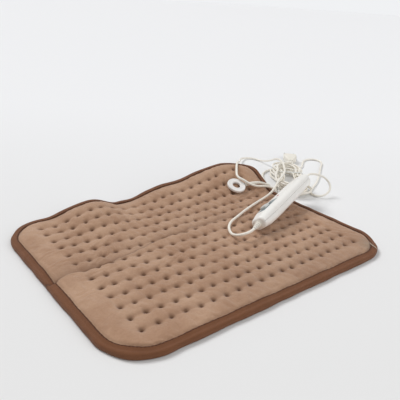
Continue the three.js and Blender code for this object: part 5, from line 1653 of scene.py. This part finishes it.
@dataclass
class Handset:
    """The controller's housing in two halves, its slide switch, lens and screws."""

    near: Triple = (67.0, -35.5, 23.8)
    aim: Triple = (223.0, 26.0, 35.2)
    roll: float = math.radians(40)
    length: float = 167.0
    width: float = 30.0
    thickness: float = 20.0
    near_share: float = 0.72
    near_taper: float = 47.0
    far_share: float = 0.88
    far_taper: float = 40.0
    nose_share: float = 0.8
    nose_taper: float = 19.0
    wall: float = 2.2
    corner: float = 7.0
    corner_steps: int = 10
    steps: tuple[int, int] = (7, 46)
    end_radius: float = 3.0
    cavity_radius: float = 1.2
    rounding: float = 0.22
    gap: float = 0.3
    beyond: float = 3.0
    switch_share: float = 0.25
    scale: Triple = (46.0, 13.0, 0.7)
    recess_depth: float = 1.2
    tick: Triple = (0.5, 1.5, 0.1)
    tick_off: float = 3.35
    figure_off: float = 5.2
    figure_size: float = 2.6
    print_height: float = 0.04
    travel: float = 15.0
    stem: Pair = (6.0, 3.6)
    knob: Triple = (12.0, 8.6, 3.0)
    foot: Triple = (9.0, 7.0, 1.2)
    knob_ribs: int = 4
    rib_depth: float = 0.6
    lens_share: float = 0.47
    lens_radius: float = 2.2
    lens_proud: float = 0.5
    lens_flange: Pair = (0.9, 0.8)
    screw_margins: Pair = (13.0, 15.0)
    head: Triple = (2.5, 1.5, -8.2)
    shank: Pair = (1.2, 4.6)
    cross: Triple = (0.6, 3.2, 1.6)
    neck: float = 3.2

    @property
    def switch(self) -> float:
        """The middle of the slide switch along the housing."""
        return self.switch_share * self.length

    @property
    def screws(self) -> Pair:
        """Both screws' places along the housing."""
        return self.screw_margins[0], self.length - self.screw_margins[1]

    @property
    def scale_top(self) -> float:
        """Height of the scale plate's face over the housing's middle line."""
        return self.thickness / 2 - self.recess_depth + self.gap + self.scale[2]

    def frame(self) -> Matrix:
        """The housing's frame: x along it, y across, z out of its front.

        Returns:
            The frame.
        """
        near = np.array(self.near)
        along = unit(np.array(self.aim) - near)
        level = unit(np.array([-along[1], along[0], 0.0]))
        front = np.cross(along, level) * math.cos(self.roll) + level * math.sin(self.roll)
        return frame_of(along, np.cross(front, along), front, near)

    def at(self, x: float, y: float = 0.0, z: float = 0.0) -> Matrix:
        """The housing's frame moved to a place in it."""
        return self.frame() @ Matrix.Translation((x, y, z))

    def end(self, far: bool) -> Matrix:
        """A frame at one end, a small gap off it, with z pointing away."""
        place = self.at(self.length + self.gap if far else -self.gap)
        return place @ Matrix.Rotation(QUARTER if far else -QUARTER, 4, "Y")

    def block(self, name: str, size: Triple, centre: Triple) -> Piece:
        """A rectangular block in the housing's frame."""
        return block(name, size, centre, self.frame())

    def shape(self, u: Array, inset: Array, corner_inset: Array) -> Array:
        """Sections of the outside at an inset: tapered to the nose and to the far end.

        Args:
            u: places along the housing.
            inset: how far inside the outside each section lies.
            corner_inset: what its corner radius loses.

        Returns:
            Stations × points around × 3, in the housing's frame.
        """
        near = lerp(self.near_share, 1, smoothstep(u, 0, self.near_taper))
        far = lerp(1, self.far_share, smoothstep(u, self.length - self.far_taper, self.length))
        nose = lerp(self.nose_share, 1, smoothstep(u, 0, self.nose_taper))
        half_wide = self.width / 2 * near * far - inset
        half_thick = self.thickness / 2 * nose * far - inset
        radius = np.minimum(self.corner - corner_inset, half_thick - self.gap)
        return set_up(u, rounded_section(half_wide, half_thick, radius, self.corner_steps))

    def hull(self, name: str, inset: float, end_radius: float) -> Piece:
        """A closed body that follows the outside at an inset, with rounded ends.

        Args:
            name: the body's name.
            inset: how far inside the outside it lies.
            end_radius: rounding of its two ends.

        Returns:
            The body.
        """
        u, extra = stations(inset, self.length - inset, end_radius, *self.steps)
        rings = self.shape(u, inset + extra, min(inset, self.wall) + extra)
        return closed_loft(name, inside(self.frame(), rings))

    def shell(self, name: str, sign: int) -> Piece:
        """One half of the housing, hollow, with its openings cut.

        Args:
            name: the piece's name.
            sign: 1 for the front half, −1 for the back half.

        Returns:
            The half.
        """
        half = self.hull(name, 0.0, self.end_radius)
        carve(half, self.hull("cavity", self.wall, self.cavity_radius))
        size = (self.length + 20, 2 * self.width, self.thickness)
        middle = (self.length / 2, 0, sign * (self.thickness + self.gap) / 2)
        carve(half, self.block("half", size, middle), Cut.WITHIN)
        for far in (False, True):
            reach = self.neck + self.gap
            carve(half, cylinder(reach, -self.wall - self.beyond, 4, self.end(far)))
        if sign > 0:
            self.cut_front(half)
        else:
            for u in self.screws:
                carve(half, cylinder(self.head[0] + self.gap, -self.thickness, -self.wall, self.at(u)))
        return soften(half, self.rounding)

    def cut_front(self, half: Piece) -> None:
        """Cuts the scale's recess, the slider's slot and the lens hole into the front.

        Args:
            half: the front half.
        """
        face, beyond = self.thickness / 2, self.beyond
        long, wide, _ = self.scale
        size = (long + 2 * self.gap, wide + 2 * self.gap, self.recess_depth + beyond)
        centre = (self.switch, 0, face + (beyond - self.recess_depth) / 2)
        carve(half, self.block("recess", size, centre))
        carve(half, self.slot())
        place = self.at(self.lens_share * self.length)
        reach = self.lens_radius + self.gap
        carve(half, cylinder(reach, face - 2 * self.wall, face + beyond, place))

    def slot(self) -> Piece:
        """The slot in which the slider's stem runs."""
        size = (self.stem[0] + self.travel + 4 * self.gap, self.stem[1] + 2 * self.gap, 2 * self.wall)
        return self.block("slot", size, (self.switch, 0, (self.thickness - self.wall) / 2))

    def build_scale(self) -> None:
        """Makes the scale plate, its ticks and its figures 0 to 3."""
        top = self.scale_top
        centre = (self.switch, 0, top - self.scale[2] / 2)
        plate = self.block("scale_plate_face", self.scale, centre)
        carve(plate, self.slot())
        dress(soften(plate, 0.14), SCALE_GREY.material(), "scale_grey", "scale_plate")
        marks = []
        for k in range(4):
            stop = self.switch + self.travel * (k / 3 - 0.5)
            marks.append(self.block("tick", self.tick, (stop, self.tick_off, top + 0.03)))
            marks.append(self.figure(str(k), stop, top))
        with bpy.context.temp_override(active_object=marks[0], selected_editable_objects=marks):
            bpy.ops.object.join()
        marks[0].name = "scale_marks"
        dress(marks[0], SCALE_INK.material(), "scale_grey")

    def figure(self, text: str, u: float, top: float) -> Piece:
        """A printed figure as a thin mesh beside the slot.

        Args:
            text: the figure.
            u: its place along the housing.
            top: height of the face it is printed on.

        Returns:
            The figure.
        """
        curve = bpy.data.curves.new("figure", "FONT")
        curve.body, curve.size = text, self.figure_size
        curve.align_x, curve.align_y = "CENTER", "CENTER"
        curve.extrude = self.print_height
        raised = link("figure", curve)
        mesh = finished_mesh(raised)
        bpy.data.objects.remove(raised)
        place = self.at(u, self.figure_off, top + self.print_height)
        mesh.transform(Matrix.Scale(MM, 4) @ place)
        return link("figure", mesh)

    def build_slider(self) -> None:
        """Makes the slider at its off stop: a ribbed knob on a stem with a foot."""
        u = self.switch - self.travel / 2
        bottom = self.scale_top + self.gap
        foot_top = self.thickness / 2 - self.wall - self.gap
        long, wide, high = self.knob
        knob = self.block("slider", self.knob, (u, 0, bottom + high / 2))
        pitch = long / (self.knob_ribs + 1)
        for k in range(self.knob_ribs):
            at = (u - long / 2 + (k + 1) * pitch, 0, bottom + high)
            carve(knob, self.block("groove", (pitch / 2, wide + 2, 2 * self.rib_depth), at))
        tall, half_foot = bottom - foot_top, self.foot[2] / 2
        stem = self.block("stem", (*self.stem, tall + 0.4), (u, 0, foot_top + tall / 2))
        foot = self.block("foot", self.foot, (u, 0, foot_top - half_foot))
        for part in (stem, foot):
            carve(knob, part, Cut.WITH)
        soften(knob, 0.25, segments=3)
        dress(knob, KNOB_GREY.material(), "knob_plastic", "slider_knob", body=SLIDER_BODY)

    def build_lens(self) -> None:
        """Makes the indicator's red lens, a low dome on a flange."""
        face, radius = self.thickness / 2, self.lens_radius
        turn = np.linspace(0, QUARTER, 9)[:-1]
        dome = zip(radius * np.cos(turn), face + self.lens_proud * np.sin(turn))
        back = face - self.wall - self.gap
        wide, thick = self.lens_flange
        edge = radius + wide
        flange = [(0, back - thick), (edge, back - thick), (edge, back), (radius, back)]
        profile = [*flange, *dome, (0, face + self.lens_proud)]
        lens = lathe("lens", profile, self.at(self.lens_share * self.length))
        dress(lens, RED_LENS.material(), "red_lens", "indicator_lens")

    def build_screws(self) -> None:
        """Makes both screws, their heads sunk into the back half with a cross slot."""
        radius, height, top = self.head
        shank, tip = self.shank
        steel = STEEL.material()
        for name, u in zip(("near", "far"), self.screws):
            profile = [(0, top), (radius - 0.5, top), (radius, top + 0.4), (radius, top + height)]
            profile += [(shank, top + height), (shank, tip - shank), (0, tip)]
            screw = lathe(f"screw_{name}_made", profile, self.at(u))
            narrow, long, deep = self.cross
            for size in ((narrow, long, deep), (long, narrow, deep)):
                carve(screw, self.block("cross", size, (u, 0, top)))
            dress(soften(screw, 0.06, segments=1), steel, "steel", f"screw_{name}")

    def build(self) -> None:
        """Makes the housing and what shows on it."""
        case = WHITE_CASE.material()
        dress(self.shell("case_front", 1), case, "white_plastic", "front_shell")
        dress(self.shell("case_back", -1), case, "white_plastic", "back_shell")
        self.build_scale()
        self.build_slider()
        self.build_lens()
        self.build_screws()


@dataclass
class Relief:
    """A ribbed strain relief along the z axis of its frame."""

    name: str
    node: str
    frame: Matrix
    length: float
    root: float
    neck_depth: float
    flanged: bool = True
    ribs: int = 4
    rib_depth: float = 1.05
    thinnest: float = 2.0
    neck: float = 3.2
    flange: Pair = (4.4, 1.6)
    tip_radius: float = 2.3
    stations: int = 90
    rib_from: Pair = (0.0, 0.75)
    smooth_tip: Pair = (0.4, 1.4)

    def profile(self) -> list[Pair]:
        """Radius and height from the neck in the wall to the tip, with rounded ribs.

        Returns:
            Pairs of radius and height.
        """
        start, (radius, thick) = -self.neck_depth, self.flange
        points = [(0, start)]
        if self.flanged:
            points += [(radius, start), (radius, start + thick), (self.neck, start + thick)]
        else:
            points.append((self.neck, start))
        points += [(self.neck, 0), (self.root - 0.4, 0), (self.root, 0.4)]
        height = np.linspace(0.8, self.length - 0.5, self.stations)
        taper = lerp(self.root, self.tip_radius, height / self.length)
        wave = np.cos((height / self.length * (self.ribs + 0.5)) * TURN)
        fade = smoothstep(self.length - height, *self.smooth_tip)
        groove = self.rib_depth * smoothstep(-wave, *self.rib_from) * fade
        points += list(zip(np.maximum(taper - groove, self.thinnest), height))
        last, tip = self.length, self.tip_radius
        return [*points, (tip - 0.1, last - 0.15), (tip - 0.4, last), (0, last)]

    def exit(self) -> tuple[Array, Array]:
        """Where the cord leaves the tip, and in which direction."""
        along = unit(np.array(self.frame.to_3x3() @ Vector((0, 0, 1))))
        return np.array(self.frame @ Vector((0, 0, self.length))), along

    def build(self) -> Piece:
        """Makes the relief."""
        relief = lathe(self.name, self.profile(), self.frame)
        return dress(relief, SOFT_RELIEF.material(), "soft_vinyl", self.node)


# Plug


@dataclass
class Plug:
    """The two-pin mains plug: a moulded body that widens to its front, and its pins."""

    rear: Triple = (348.0, 157.0, 7.0)
    turn: float = math.radians(46)
    length: float = 34.0
    rear_width: float = 11.0
    front_width: float = 25.0
    rear_thickness: float = 9.0
    thickness: float = 13.6
    corner: float = 3.4
    edge: float = 1.0
    shoulder: float = 24.0
    gap: float = 0.3
    groove: Triple = (1.0, 2.4, 8.0)
    groove_span: Pair = (-13.0, -4.0)
    pin_spacing: float = 18.6
    pin_tip_spacing: float = 17.5
    pin_radius: float = 2.0
    pin_length: float = 19.0
    pin_seat: float = 6.0
    steps: tuple[int, int] = (6, 30)
    pin_sides: int = 32
    neck: float = 3.2
    neck_depth: float = 6.0

    def at(self, x: float, y: float = 0.0) -> Matrix:
        """The plug's frame, x from its rear to its pins, moved to a place in it."""
        frame = Matrix.Translation(self.rear) @ Matrix.Rotation(self.turn, 4, "Z")
        return frame @ Matrix.Translation((x, y, 0))

    def relief_frame(self) -> Matrix:
        """A frame behind the plug, with z pointing away from it."""
        return self.at(-self.gap) @ Matrix.Rotation(-QUARTER, 4, "Y")

    def pin_frame(self, side: int) -> Matrix:
        """A pin's frame at the plug's face, with z leaning towards the other pin."""
        lean = math.atan2((self.pin_spacing - self.pin_tip_spacing) / 2, self.pin_length)
        place = self.at(self.length, side * self.pin_spacing / 2)
        return place @ Matrix.Rotation(-side * lean, 4, "Z") @ Matrix.Rotation(QUARTER, 4, "Y")

    def body(self) -> Piece:
        """The moulded body with bores for the relief's neck and the pins.

        Returns:
            The body.
        """
        frame = self.at(0)
        x, inset = stations(0.0, self.length, self.edge, *self.steps)
        share = smoothstep(x, 0, self.shoulder)
        wide = lerp(self.rear_width, self.front_width, share) / 2 - inset
        thick = lerp(self.rear_thickness, self.thickness, share) / 2 - inset
        rings = set_up(x, rounded_section(wide, thick, self.corner - inset, 8))
        body = closed_loft("plug_moulding", inside(frame, rings))
        neck, deep = self.neck + self.gap, -self.neck_depth - self.gap
        carve(body, cylinder(neck, deep, 3, self.relief_frame(), self.pin_sides))
        reach, deep = self.pin_radius + self.gap, -self.pin_seat - self.gap
        for side in (1, -1):
            carve(body, cylinder(reach, deep, 3, self.pin_frame(side), self.pin_sides))
        first, last = self.groove_span
        for place in np.linspace(self.shoulder + first, self.shoulder + last, 4):
            for side in (1, -1):
                centre = (float(place), side * (self.front_width / 2 + 0.1), 0)
                carve(body, block("groove", self.groove, centre, frame))
        return soften(body, 0.2)

    def build(self) -> list[Piece]:
        """Makes the body and its pins.

        Returns:
            The three pieces.
        """
        pieces = [dress(self.body(), PLUG_VINYL.material(), "soft_vinyl", "plug_body")]
        nickel, radius, long = NICKEL.material(), self.pin_radius, self.pin_length
        turn = np.linspace(0, QUARTER, 9)[:-1]
        round_tip = zip(radius * np.cos(turn), long + radius * (np.sin(turn) - 1))
        profile = [(0, -self.pin_seat), (radius, -self.pin_seat), *round_tip, (0, long)]
        for name, side in (("left", 1), ("right", -1)):
            pin = lathe(f"plug_pin_{name}", profile, self.pin_frame(side), self.pin_sides)
            pieces.append(dress(pin, nickel, "nickel", f"pin_{name}"))
        return pieces


# Cords


PAD_CORD_ROUTE = [
    (200, 74.9, 15.6), (206.4, 78.2, 10.8), (212.2, 84, 6.2), (218.8, 92.8, 3), (227, 106, 1.9),
    (238, 121, 1.9), (251, 137, 1.9), (267, 149, 1.9), (285, 154, 1.9), (303, 152, 1.9),
    (316, 146, 1.9), (326, 138, 1.9), (340, 133, 1.9), (357, 137, 1.9), (372, 147.5, 1.9),
    (385, 157, 1.9), (398, 162.2, 1.9), (409.2, 161.4, 1.9), (417.4, 154.6, 1.9),
    (419, 144.4, 1.9), (413.4, 134.4, 1.9), (397, 122, 1.9), (372, 104.5, 1.9), (344, 85, 1.9),
    (316, 67, 1.9), (292, 54.5, 1.9), (274.5, 45.5, 1.9), (263, 36.6, 1.9), (259.6, 25.6, 2.2),
    (264.6, 15.6, 4.2), (274.4, 12.6, 8.4), (282.8, 15.4, 15), (285, 22, 22.6), (280.4, 29.4, 29),
    (271, 34.6, 33.2), (259, 37, 35.8),
]
MAINS_CORD_ROUTE = [
    (45.2, -43.3, 22.1), (40.4, -42.7, 21), (35.8, -40.5, 19.4), (32.5, -36.7, 17.6),
    (30.8, -31.9, 15.9), (30.8, -26.6, 14.7), (32.8, -21.2, 13.9), (38, -12.2, 13.8),
    (46.4, -3, 13.8), (57, 4.4, 13.8), (70, 10, 13.8), (94, 20, 13.8), (150, 39, 14),
    (176, 47, 15.8), (198, 57, 20.6), (214, 66, 24.2), (229.3, 73.7, 25.4), (256.5, 92.9, 25.6),
    (268.9, 106.1, 26.4), (278.6, 119, 28.6), (284, 130, 28.8), (288, 140, 27), (299.5, 163, 16.5),
    (309, 190, 5.4), (311, 205, 2.4), (308, 218.5, 2.1), (298.5, 226.5, 2.4), (284, 224.5, 4.4),
    (249, 195.5, 13.6), (211, 159.5, 27.4), (195, 144, 34.6), (180, 130.5, 40.2),
    (165.5, 117, 41.2), (154, 104, 36.8), (147.5, 92.5, 32.6), (149.6, 84, 30.6),
    (154.2, 76.4, 27), (161.8, 71, 23.2), (171.5, 68.4, 20.8), (192, 65.6, 16.6),
    (201.4, 63.8, 11.2), (207.2, 64.9, 7), (211.9, 67.3, 4.2),
]
PLUG_CORD_ROUTE = [
    (234, 91.5, 22.8), (247.1, 100.3, 25.6), (258.6, 111.7, 25.2), (270.4, 120.2, 24.4),
    (282.5, 123.4, 24.1), (295, 123.8, 24), (306.6, 124.8, 23.8), (312.1, 126.3, 22.5),
    (317.3, 128.7, 18.5), (321.9, 131.5, 12.6), (326.6, 135.4, 8.2),
]


@dataclass
class Hank:
    """The wound part of the mains lead: two loops in each of four layers, and its tie."""

    centre: Triple = (264.0, 87.0, 3.1)
    turn: float = math.atan2(0.785, 0.62)
    run: float = 70.0
    inner_radius: float = 14.0
    step: float = 7.4
    loops: int = 2
    layers: int = 4
    rise: float = 5.6
    waist_share: float = 0.34
    waist_reach: float = 24.0
    run_steps: int = 4
    fold_steps: int = 8
    tie_width: float = 4.6
    tie_thickness: float = 0.8
    tie_corner: float = 2.0
    tie_edge: float = 0.3
    tie_clearance: float = 0.4
    tie_steps: int = 8
    layer_turns: tuple[float, ...] = (0.0, 7.0, -6.0, 3.0)

    @property
    def per_loop(self) -> int:
        """Steps in one loop."""
        return 2 * (self.run_steps + self.fold_steps)

    def frame(self) -> Matrix:
        """The hank's frame: x along its runs."""
        return Matrix.Translation(self.centre) @ Matrix.Rotation(self.turn, 4, "Z")

    def waist(self, x: float) -> float:
        """How far the loops are drawn in by the tie: 1 − s exp(−(x / reach)²)."""
        away = min(abs(x), self.run / 2) / self.waist_reach
        return 1 - self.waist_share * math.exp(-away * away)

    def point(self, step: int) -> Triple:
        """The lead's place in the hank's frame after a number of steps round the loops.

        Args:
            step: the number of steps.

        Returns:
            The place.
        """
        layer = min(step // (self.per_loop * self.loops), self.layers - 1)
        within = step / self.per_loop - layer * self.loops
        radius = self.inner_radius + self.step * (self.loops - within if layer % 2 == 0 else within)
        phase = min(within, self.loops) * self.per_loop % self.per_loop
        climb = 0.0
        if layer > 0 and within * self.per_loop < self.run_steps:
            climb = float(smoothstep(np.array(within * self.per_loop), 0, self.run_steps)) - 1
        z = self.rise * (layer + climb)
        half = self.run_steps + self.fold_steps
        side = 1 if phase < half else -1
        in_half = phase % half
        if in_half < self.run_steps:
            x = side * self.run * (in_half / self.run_steps - 0.5)
            return x, side * radius * self.waist(x), z
        angle = (in_half - self.run_steps) / self.fold_steps * math.pi
        fold = radius * self.waist(self.run)
        return side * (self.run / 2 + fold * math.sin(angle)), side * fold * math.cos(angle), z

    def strayed(self, wound: Array) -> Array:
        """Turns each layer a little about the tie, as a hank wound by hand lies.

        Args:
            wound: points of the evenly wound lead.

        Returns:
            The points' places across the hank.
        """
        layer = np.arange(len(wound)) * self.layers / (len(wound) - 1)
        whole = np.minimum(layer.astype(int), self.layers - 1)
        first_run = self.run_steps / (self.loops * self.per_loop)
        last_run = (self.run_steps + self.fold_steps) / (self.loops * self.per_loop)
        turns = np.radians([0.0, *self.layer_turns])
        turn = turns[whole] + (turns[whole + 1] - turns[whole]) * smoothstep(layer - whole, 0, first_run)
        still = self.layers - last_run
        turn = turn * (1 - smoothstep(layer, still, still + first_run))
        return wound[:, 1] + wound[:, 0] * np.sin(turn)

    def points(self, diameter: float) -> Array:
        """The wound lead's points, with one diameter straight at both ends.

        Args:
            diameter: the cord's diameter.

        Returns:
            The points.
        """
        steps = self.layers * self.loops * self.per_loop
        wound = np.array([self.point(step) for step in range(steps + 1)])
        wound[:, 1] = self.strayed(wound)
        off = np.array([diameter, 0.0, 0.0])
        return inside(self.frame(), np.vstack([wound[0] - off, wound, wound[-1] + off]))

    def build_tie(self, diameter: float) -> Piece:
        """Makes the flat tie round the hank's waist.

        Args:
            diameter: the cord's diameter.

        Returns:
            The tie.
        """
        clear = diameter / 2 + self.tie_clearance + self.tie_thickness / 2
        half = (self.inner_radius + self.step * self.loops) * self.waist(0) + clear
        low, high = -clear, self.rise * (self.layers - 1) + clear
        radius = self.tie_corner + self.tie_thickness / 2
        one, steps = np.ones(1), self.tie_steps
        corners = rounded_section(half * one, (high - low) / 2 * one, radius * one, steps)[0]
        turn = (np.repeat(np.arange(4), steps + 1) + np.tile(np.arange(steps + 1) / steps, 4)) * QUARTER
        out = np.stack([np.cos(turn), np.sin(turn)], -1)
        wide, thick = self.tie_width / 2 * one, self.tie_thickness / 2 * one
        flat = rounded_section(wide, thick, self.tie_edge * one, 3)[0]
        yz = corners[:, None] + flat[None, :, 1:2] * out[:, None]
        x = np.broadcast_to(flat[None, :, 0], yz.shape[:2])
        rings = np.stack([x, yz[..., 0], yz[..., 1] + (high + low) / 2], -1)
        faces = grid_quads(*rings.shape[:2], round_rows=True, round_columns=True)
        tie = outward(new_piece("tie_band", inside(self.frame(), rings), faces))
        return dress(tie, CLEAR_TIE.material(), "clear_tie", "cable_tie")


@dataclass
class Cords:
    """The pad's cord and the mains lead with its hank and plug."""

    anchor: CordAnchor
    near: Relief
    far: Relief
    plug_relief: Relief
    plug: Plug
    hank: Hank = field(default_factory=Hank)
    diameter: float = 3.6
    gap: float = 0.3
    step: float = 1.9
    sides: int = 14
    seat: float = 8.0

    def end(self, place: Array, along: Array) -> list[Array]:
        """Two points of a cord off what it leaves: a small gap, and one diameter more."""
        return [place + along * self.gap, place + along * (self.gap + self.diameter)]

    def build(self) -> None:
        jacket = CORD_JACKET.material()
        start = self.end(*self.anchor.exit())
        stop = self.end(*self.far.exit())[::-1]
        line = smooth_line(np.vstack([start, PAD_CORD_ROUTE, stop]), self.step)
        cord = tube("cord_to_controller", line, self.diameter / 2, self.sides)
        dress(cord, jacket, "soft_vinyl", "pad_cord")
        float(run_of(line)[-1]) * MM
        start = self.end(*self.near.exit())
        tip, along = self.plug_relief.exit()
        stop = [*self.end(tip, along)[::-1], tip - along * self.seat]
        wound = self.hank.points(self.diameter)
        line = smooth_line(np.vstack([start, MAINS_CORD_ROUTE, wound, PLUG_CORD_ROUTE, stop]), self.step)
        lead = tube("mains_lead", line, self.diameter / 2, self.sides)
        dress(lead, jacket, "soft_vinyl", "mains_cord", "mains_hank", "plug_cord")
        tie = self.hank.build_tie(self.diameter)
        pieces = [*self.plug.build(), self.plug_relief.build(), tie]
        float(run_of(line)[-1]) * MM


# Inner parts that keep their CAD nodes


def dress_inner(nodes: dict[str, Piece]) -> None:
    """Gives every carried-over node a procedural material.

    Args:
        nodes: the frame's nodes by name.
    """
    groups = {
        ELEMENT_JACKET: ("heating_wire",),
        DARK_PART: ("thermostat", "splice_capsule", "switch_body", "control_chip", "triac"),
        BOARD_GREEN: ("circuit_board",),
        BLUE_PART: ("film_capacitor", "electrolytic"),
        GLASS_PART: ("fuse", "indicator_lamp"),
        SOFT_RELIEF: ("near_wire_a", "near_wire_b", "far_wire_a", "far_wire_b"),
    }
    for finish, names in groups.items():
        material = finish.material()
        for name in names:
            mesh = nodes[name].data
            mesh.materials.clear()
            mesh.materials.append(material)


# Studio


@dataclass(frozen=True)
class Sun:
    """A broad soft lamp: the direction it shines from, how broad it looks, its strength."""

    name: str
    place: Triple
    angle: float
    strength: float

    def build(self) -> None:
        """Makes the lamp."""
        data = bpy.data.lights.new(self.name, "SUN")
        data.angle, data.energy = math.radians(self.angle), self.strength
        lamp = link(self.name, data)
        lamp.matrix_world = Vector(self.place).to_track_quat("Z", "Y").to_matrix().to_4x4()


@dataclass
class Studio:
    """The pale floor, both lamps, the sky and the camera."""

    lens: float = 43.188
    sensor: float = 36.0
    place: Triple = (-349.866, -414.730, 283.683)
    right: Triple = (0.78265114, -0.6194366, 0.06128214)
    up: Triple = (0.19431958, 0.33667197, 0.92135329)
    ahead: Triple = (0.59135192, 0.70918988, -0.38386536)
    floor_half: float = 60000.0
    floor_z: float = -0.1
    # floor_near and floor_far: painted shade from the far floor to the darker near floor
    floor_near: Triple = (0.80, 0.80, 0.80)
    floor_far: Triple = (0.885, 0.89, 0.905)
    floor_span: Pair = (-0.35, 0.75)
    suns: tuple[Sun, ...] = (
        Sun("key", (-0.16, 0.62, 0.77), 26, 1.8),
        Sun("fill", (0.25, -0.7, 0.62), 70, 1.1),
    )
    sky: float = 0.325
    backdrop: Triple = (0.875, 0.885, 0.90)

    def build(self) -> None:
        """Makes the floor, both lamps, the sky and the camera."""
        scene = bpy.context.scene
        scene.view_settings.view_transform = "Standard"
        self.build_floor()
        for sun in self.suns:
            sun.build()
        self.build_sky()
        data = bpy.data.cameras.new("camera")
        data.lens, data.sensor_width, data.clip_start = self.lens, self.sensor, 0.01
        data.clip_end = 2 * self.floor_half * MM
        camera = link("camera", data)
        axes = [np.array(self.right), np.array(self.up), -np.array(self.ahead)]
        camera.matrix_world = frame_of(*axes, np.array(self.place) * MM)
        scene.camera = camera

    def build_floor(self) -> None:
        """Makes the floor, a pale matt sheet with painted shade that makes it a little darker near the
        camera.
        """
        corners = np.array([(-1, -1, 0), (1, -1, 0), (1, 1, 0), (-1, 1, 0)]) * self.floor_half
        floor = new_piece("floor", corners + self.floor_z * UP, [[0, 1, 2, 3]], smooth=False)
        material, paint, shader = blank("floor")
        # painted shade: the floor's colour darkens towards the camera for the light's fall-off
        share = paint.ramp(paint.away(self.ahead, "DOT_PRODUCT"), *self.floor_span)
        paint.feed(shader["Base Color"], paint.mix(share, self.floor_near, self.floor_far))
        paint.feed(shader["Roughness"], 0.9)
        paint.feed(shader["Specular IOR Level"], 0.1)
        floor.data.materials.append(material)

    def build_sky(self) -> None:
        """Makes an even sky, which the camera sees in the floor's own colour."""
        world = bpy.data.worlds.new("room")
        world.use_nodes = True
        paint = Paint(world.node_tree)
        seen = paint.node("LightPath", {})["Is Camera Ray"]
        light = (self.sky, self.sky, self.sky)
        background = world.node_tree.nodes["Background"].inputs
        paint.feed(background["Color"], paint.mix(seen, light, self.backdrop))
        bpy.context.scene.world = world


def main() -> None:
    """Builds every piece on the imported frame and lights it."""
    logging.basicConfig(level=logging.INFO, format="%(name)s: %(message)s")
    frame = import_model()
    quilt = Quilt(PadForm())
    quilt.build()
    EdgeTape(quilt).build()
    anchor = CordAnchor(quilt.form)
    anchor.build()
    handset = Handset()
    handset.build()
    flange = Relief.flange[1]
    depth = handset.wall + 2 * handset.gap + flange
    near = Relief("relief_near", "near_relief", handset.end(False), 14.0, 4.8, depth)
    far = Relief("relief_far", "far_relief", handset.end(True), 20.0, 4.4, depth)
    near.build()
    far.build()
    plug = Plug()
    behind = plug.relief_frame()
    tail = Relief("relief_plug", "plug_relief", behind, 20.0, 3.6, plug.neck_depth, flanged=False)
    Cords(anchor, near, far, tail, plug).build()
    dress_inner(frame["nodes"])
    Studio().build()


if __name__ == "__main__":
    main()
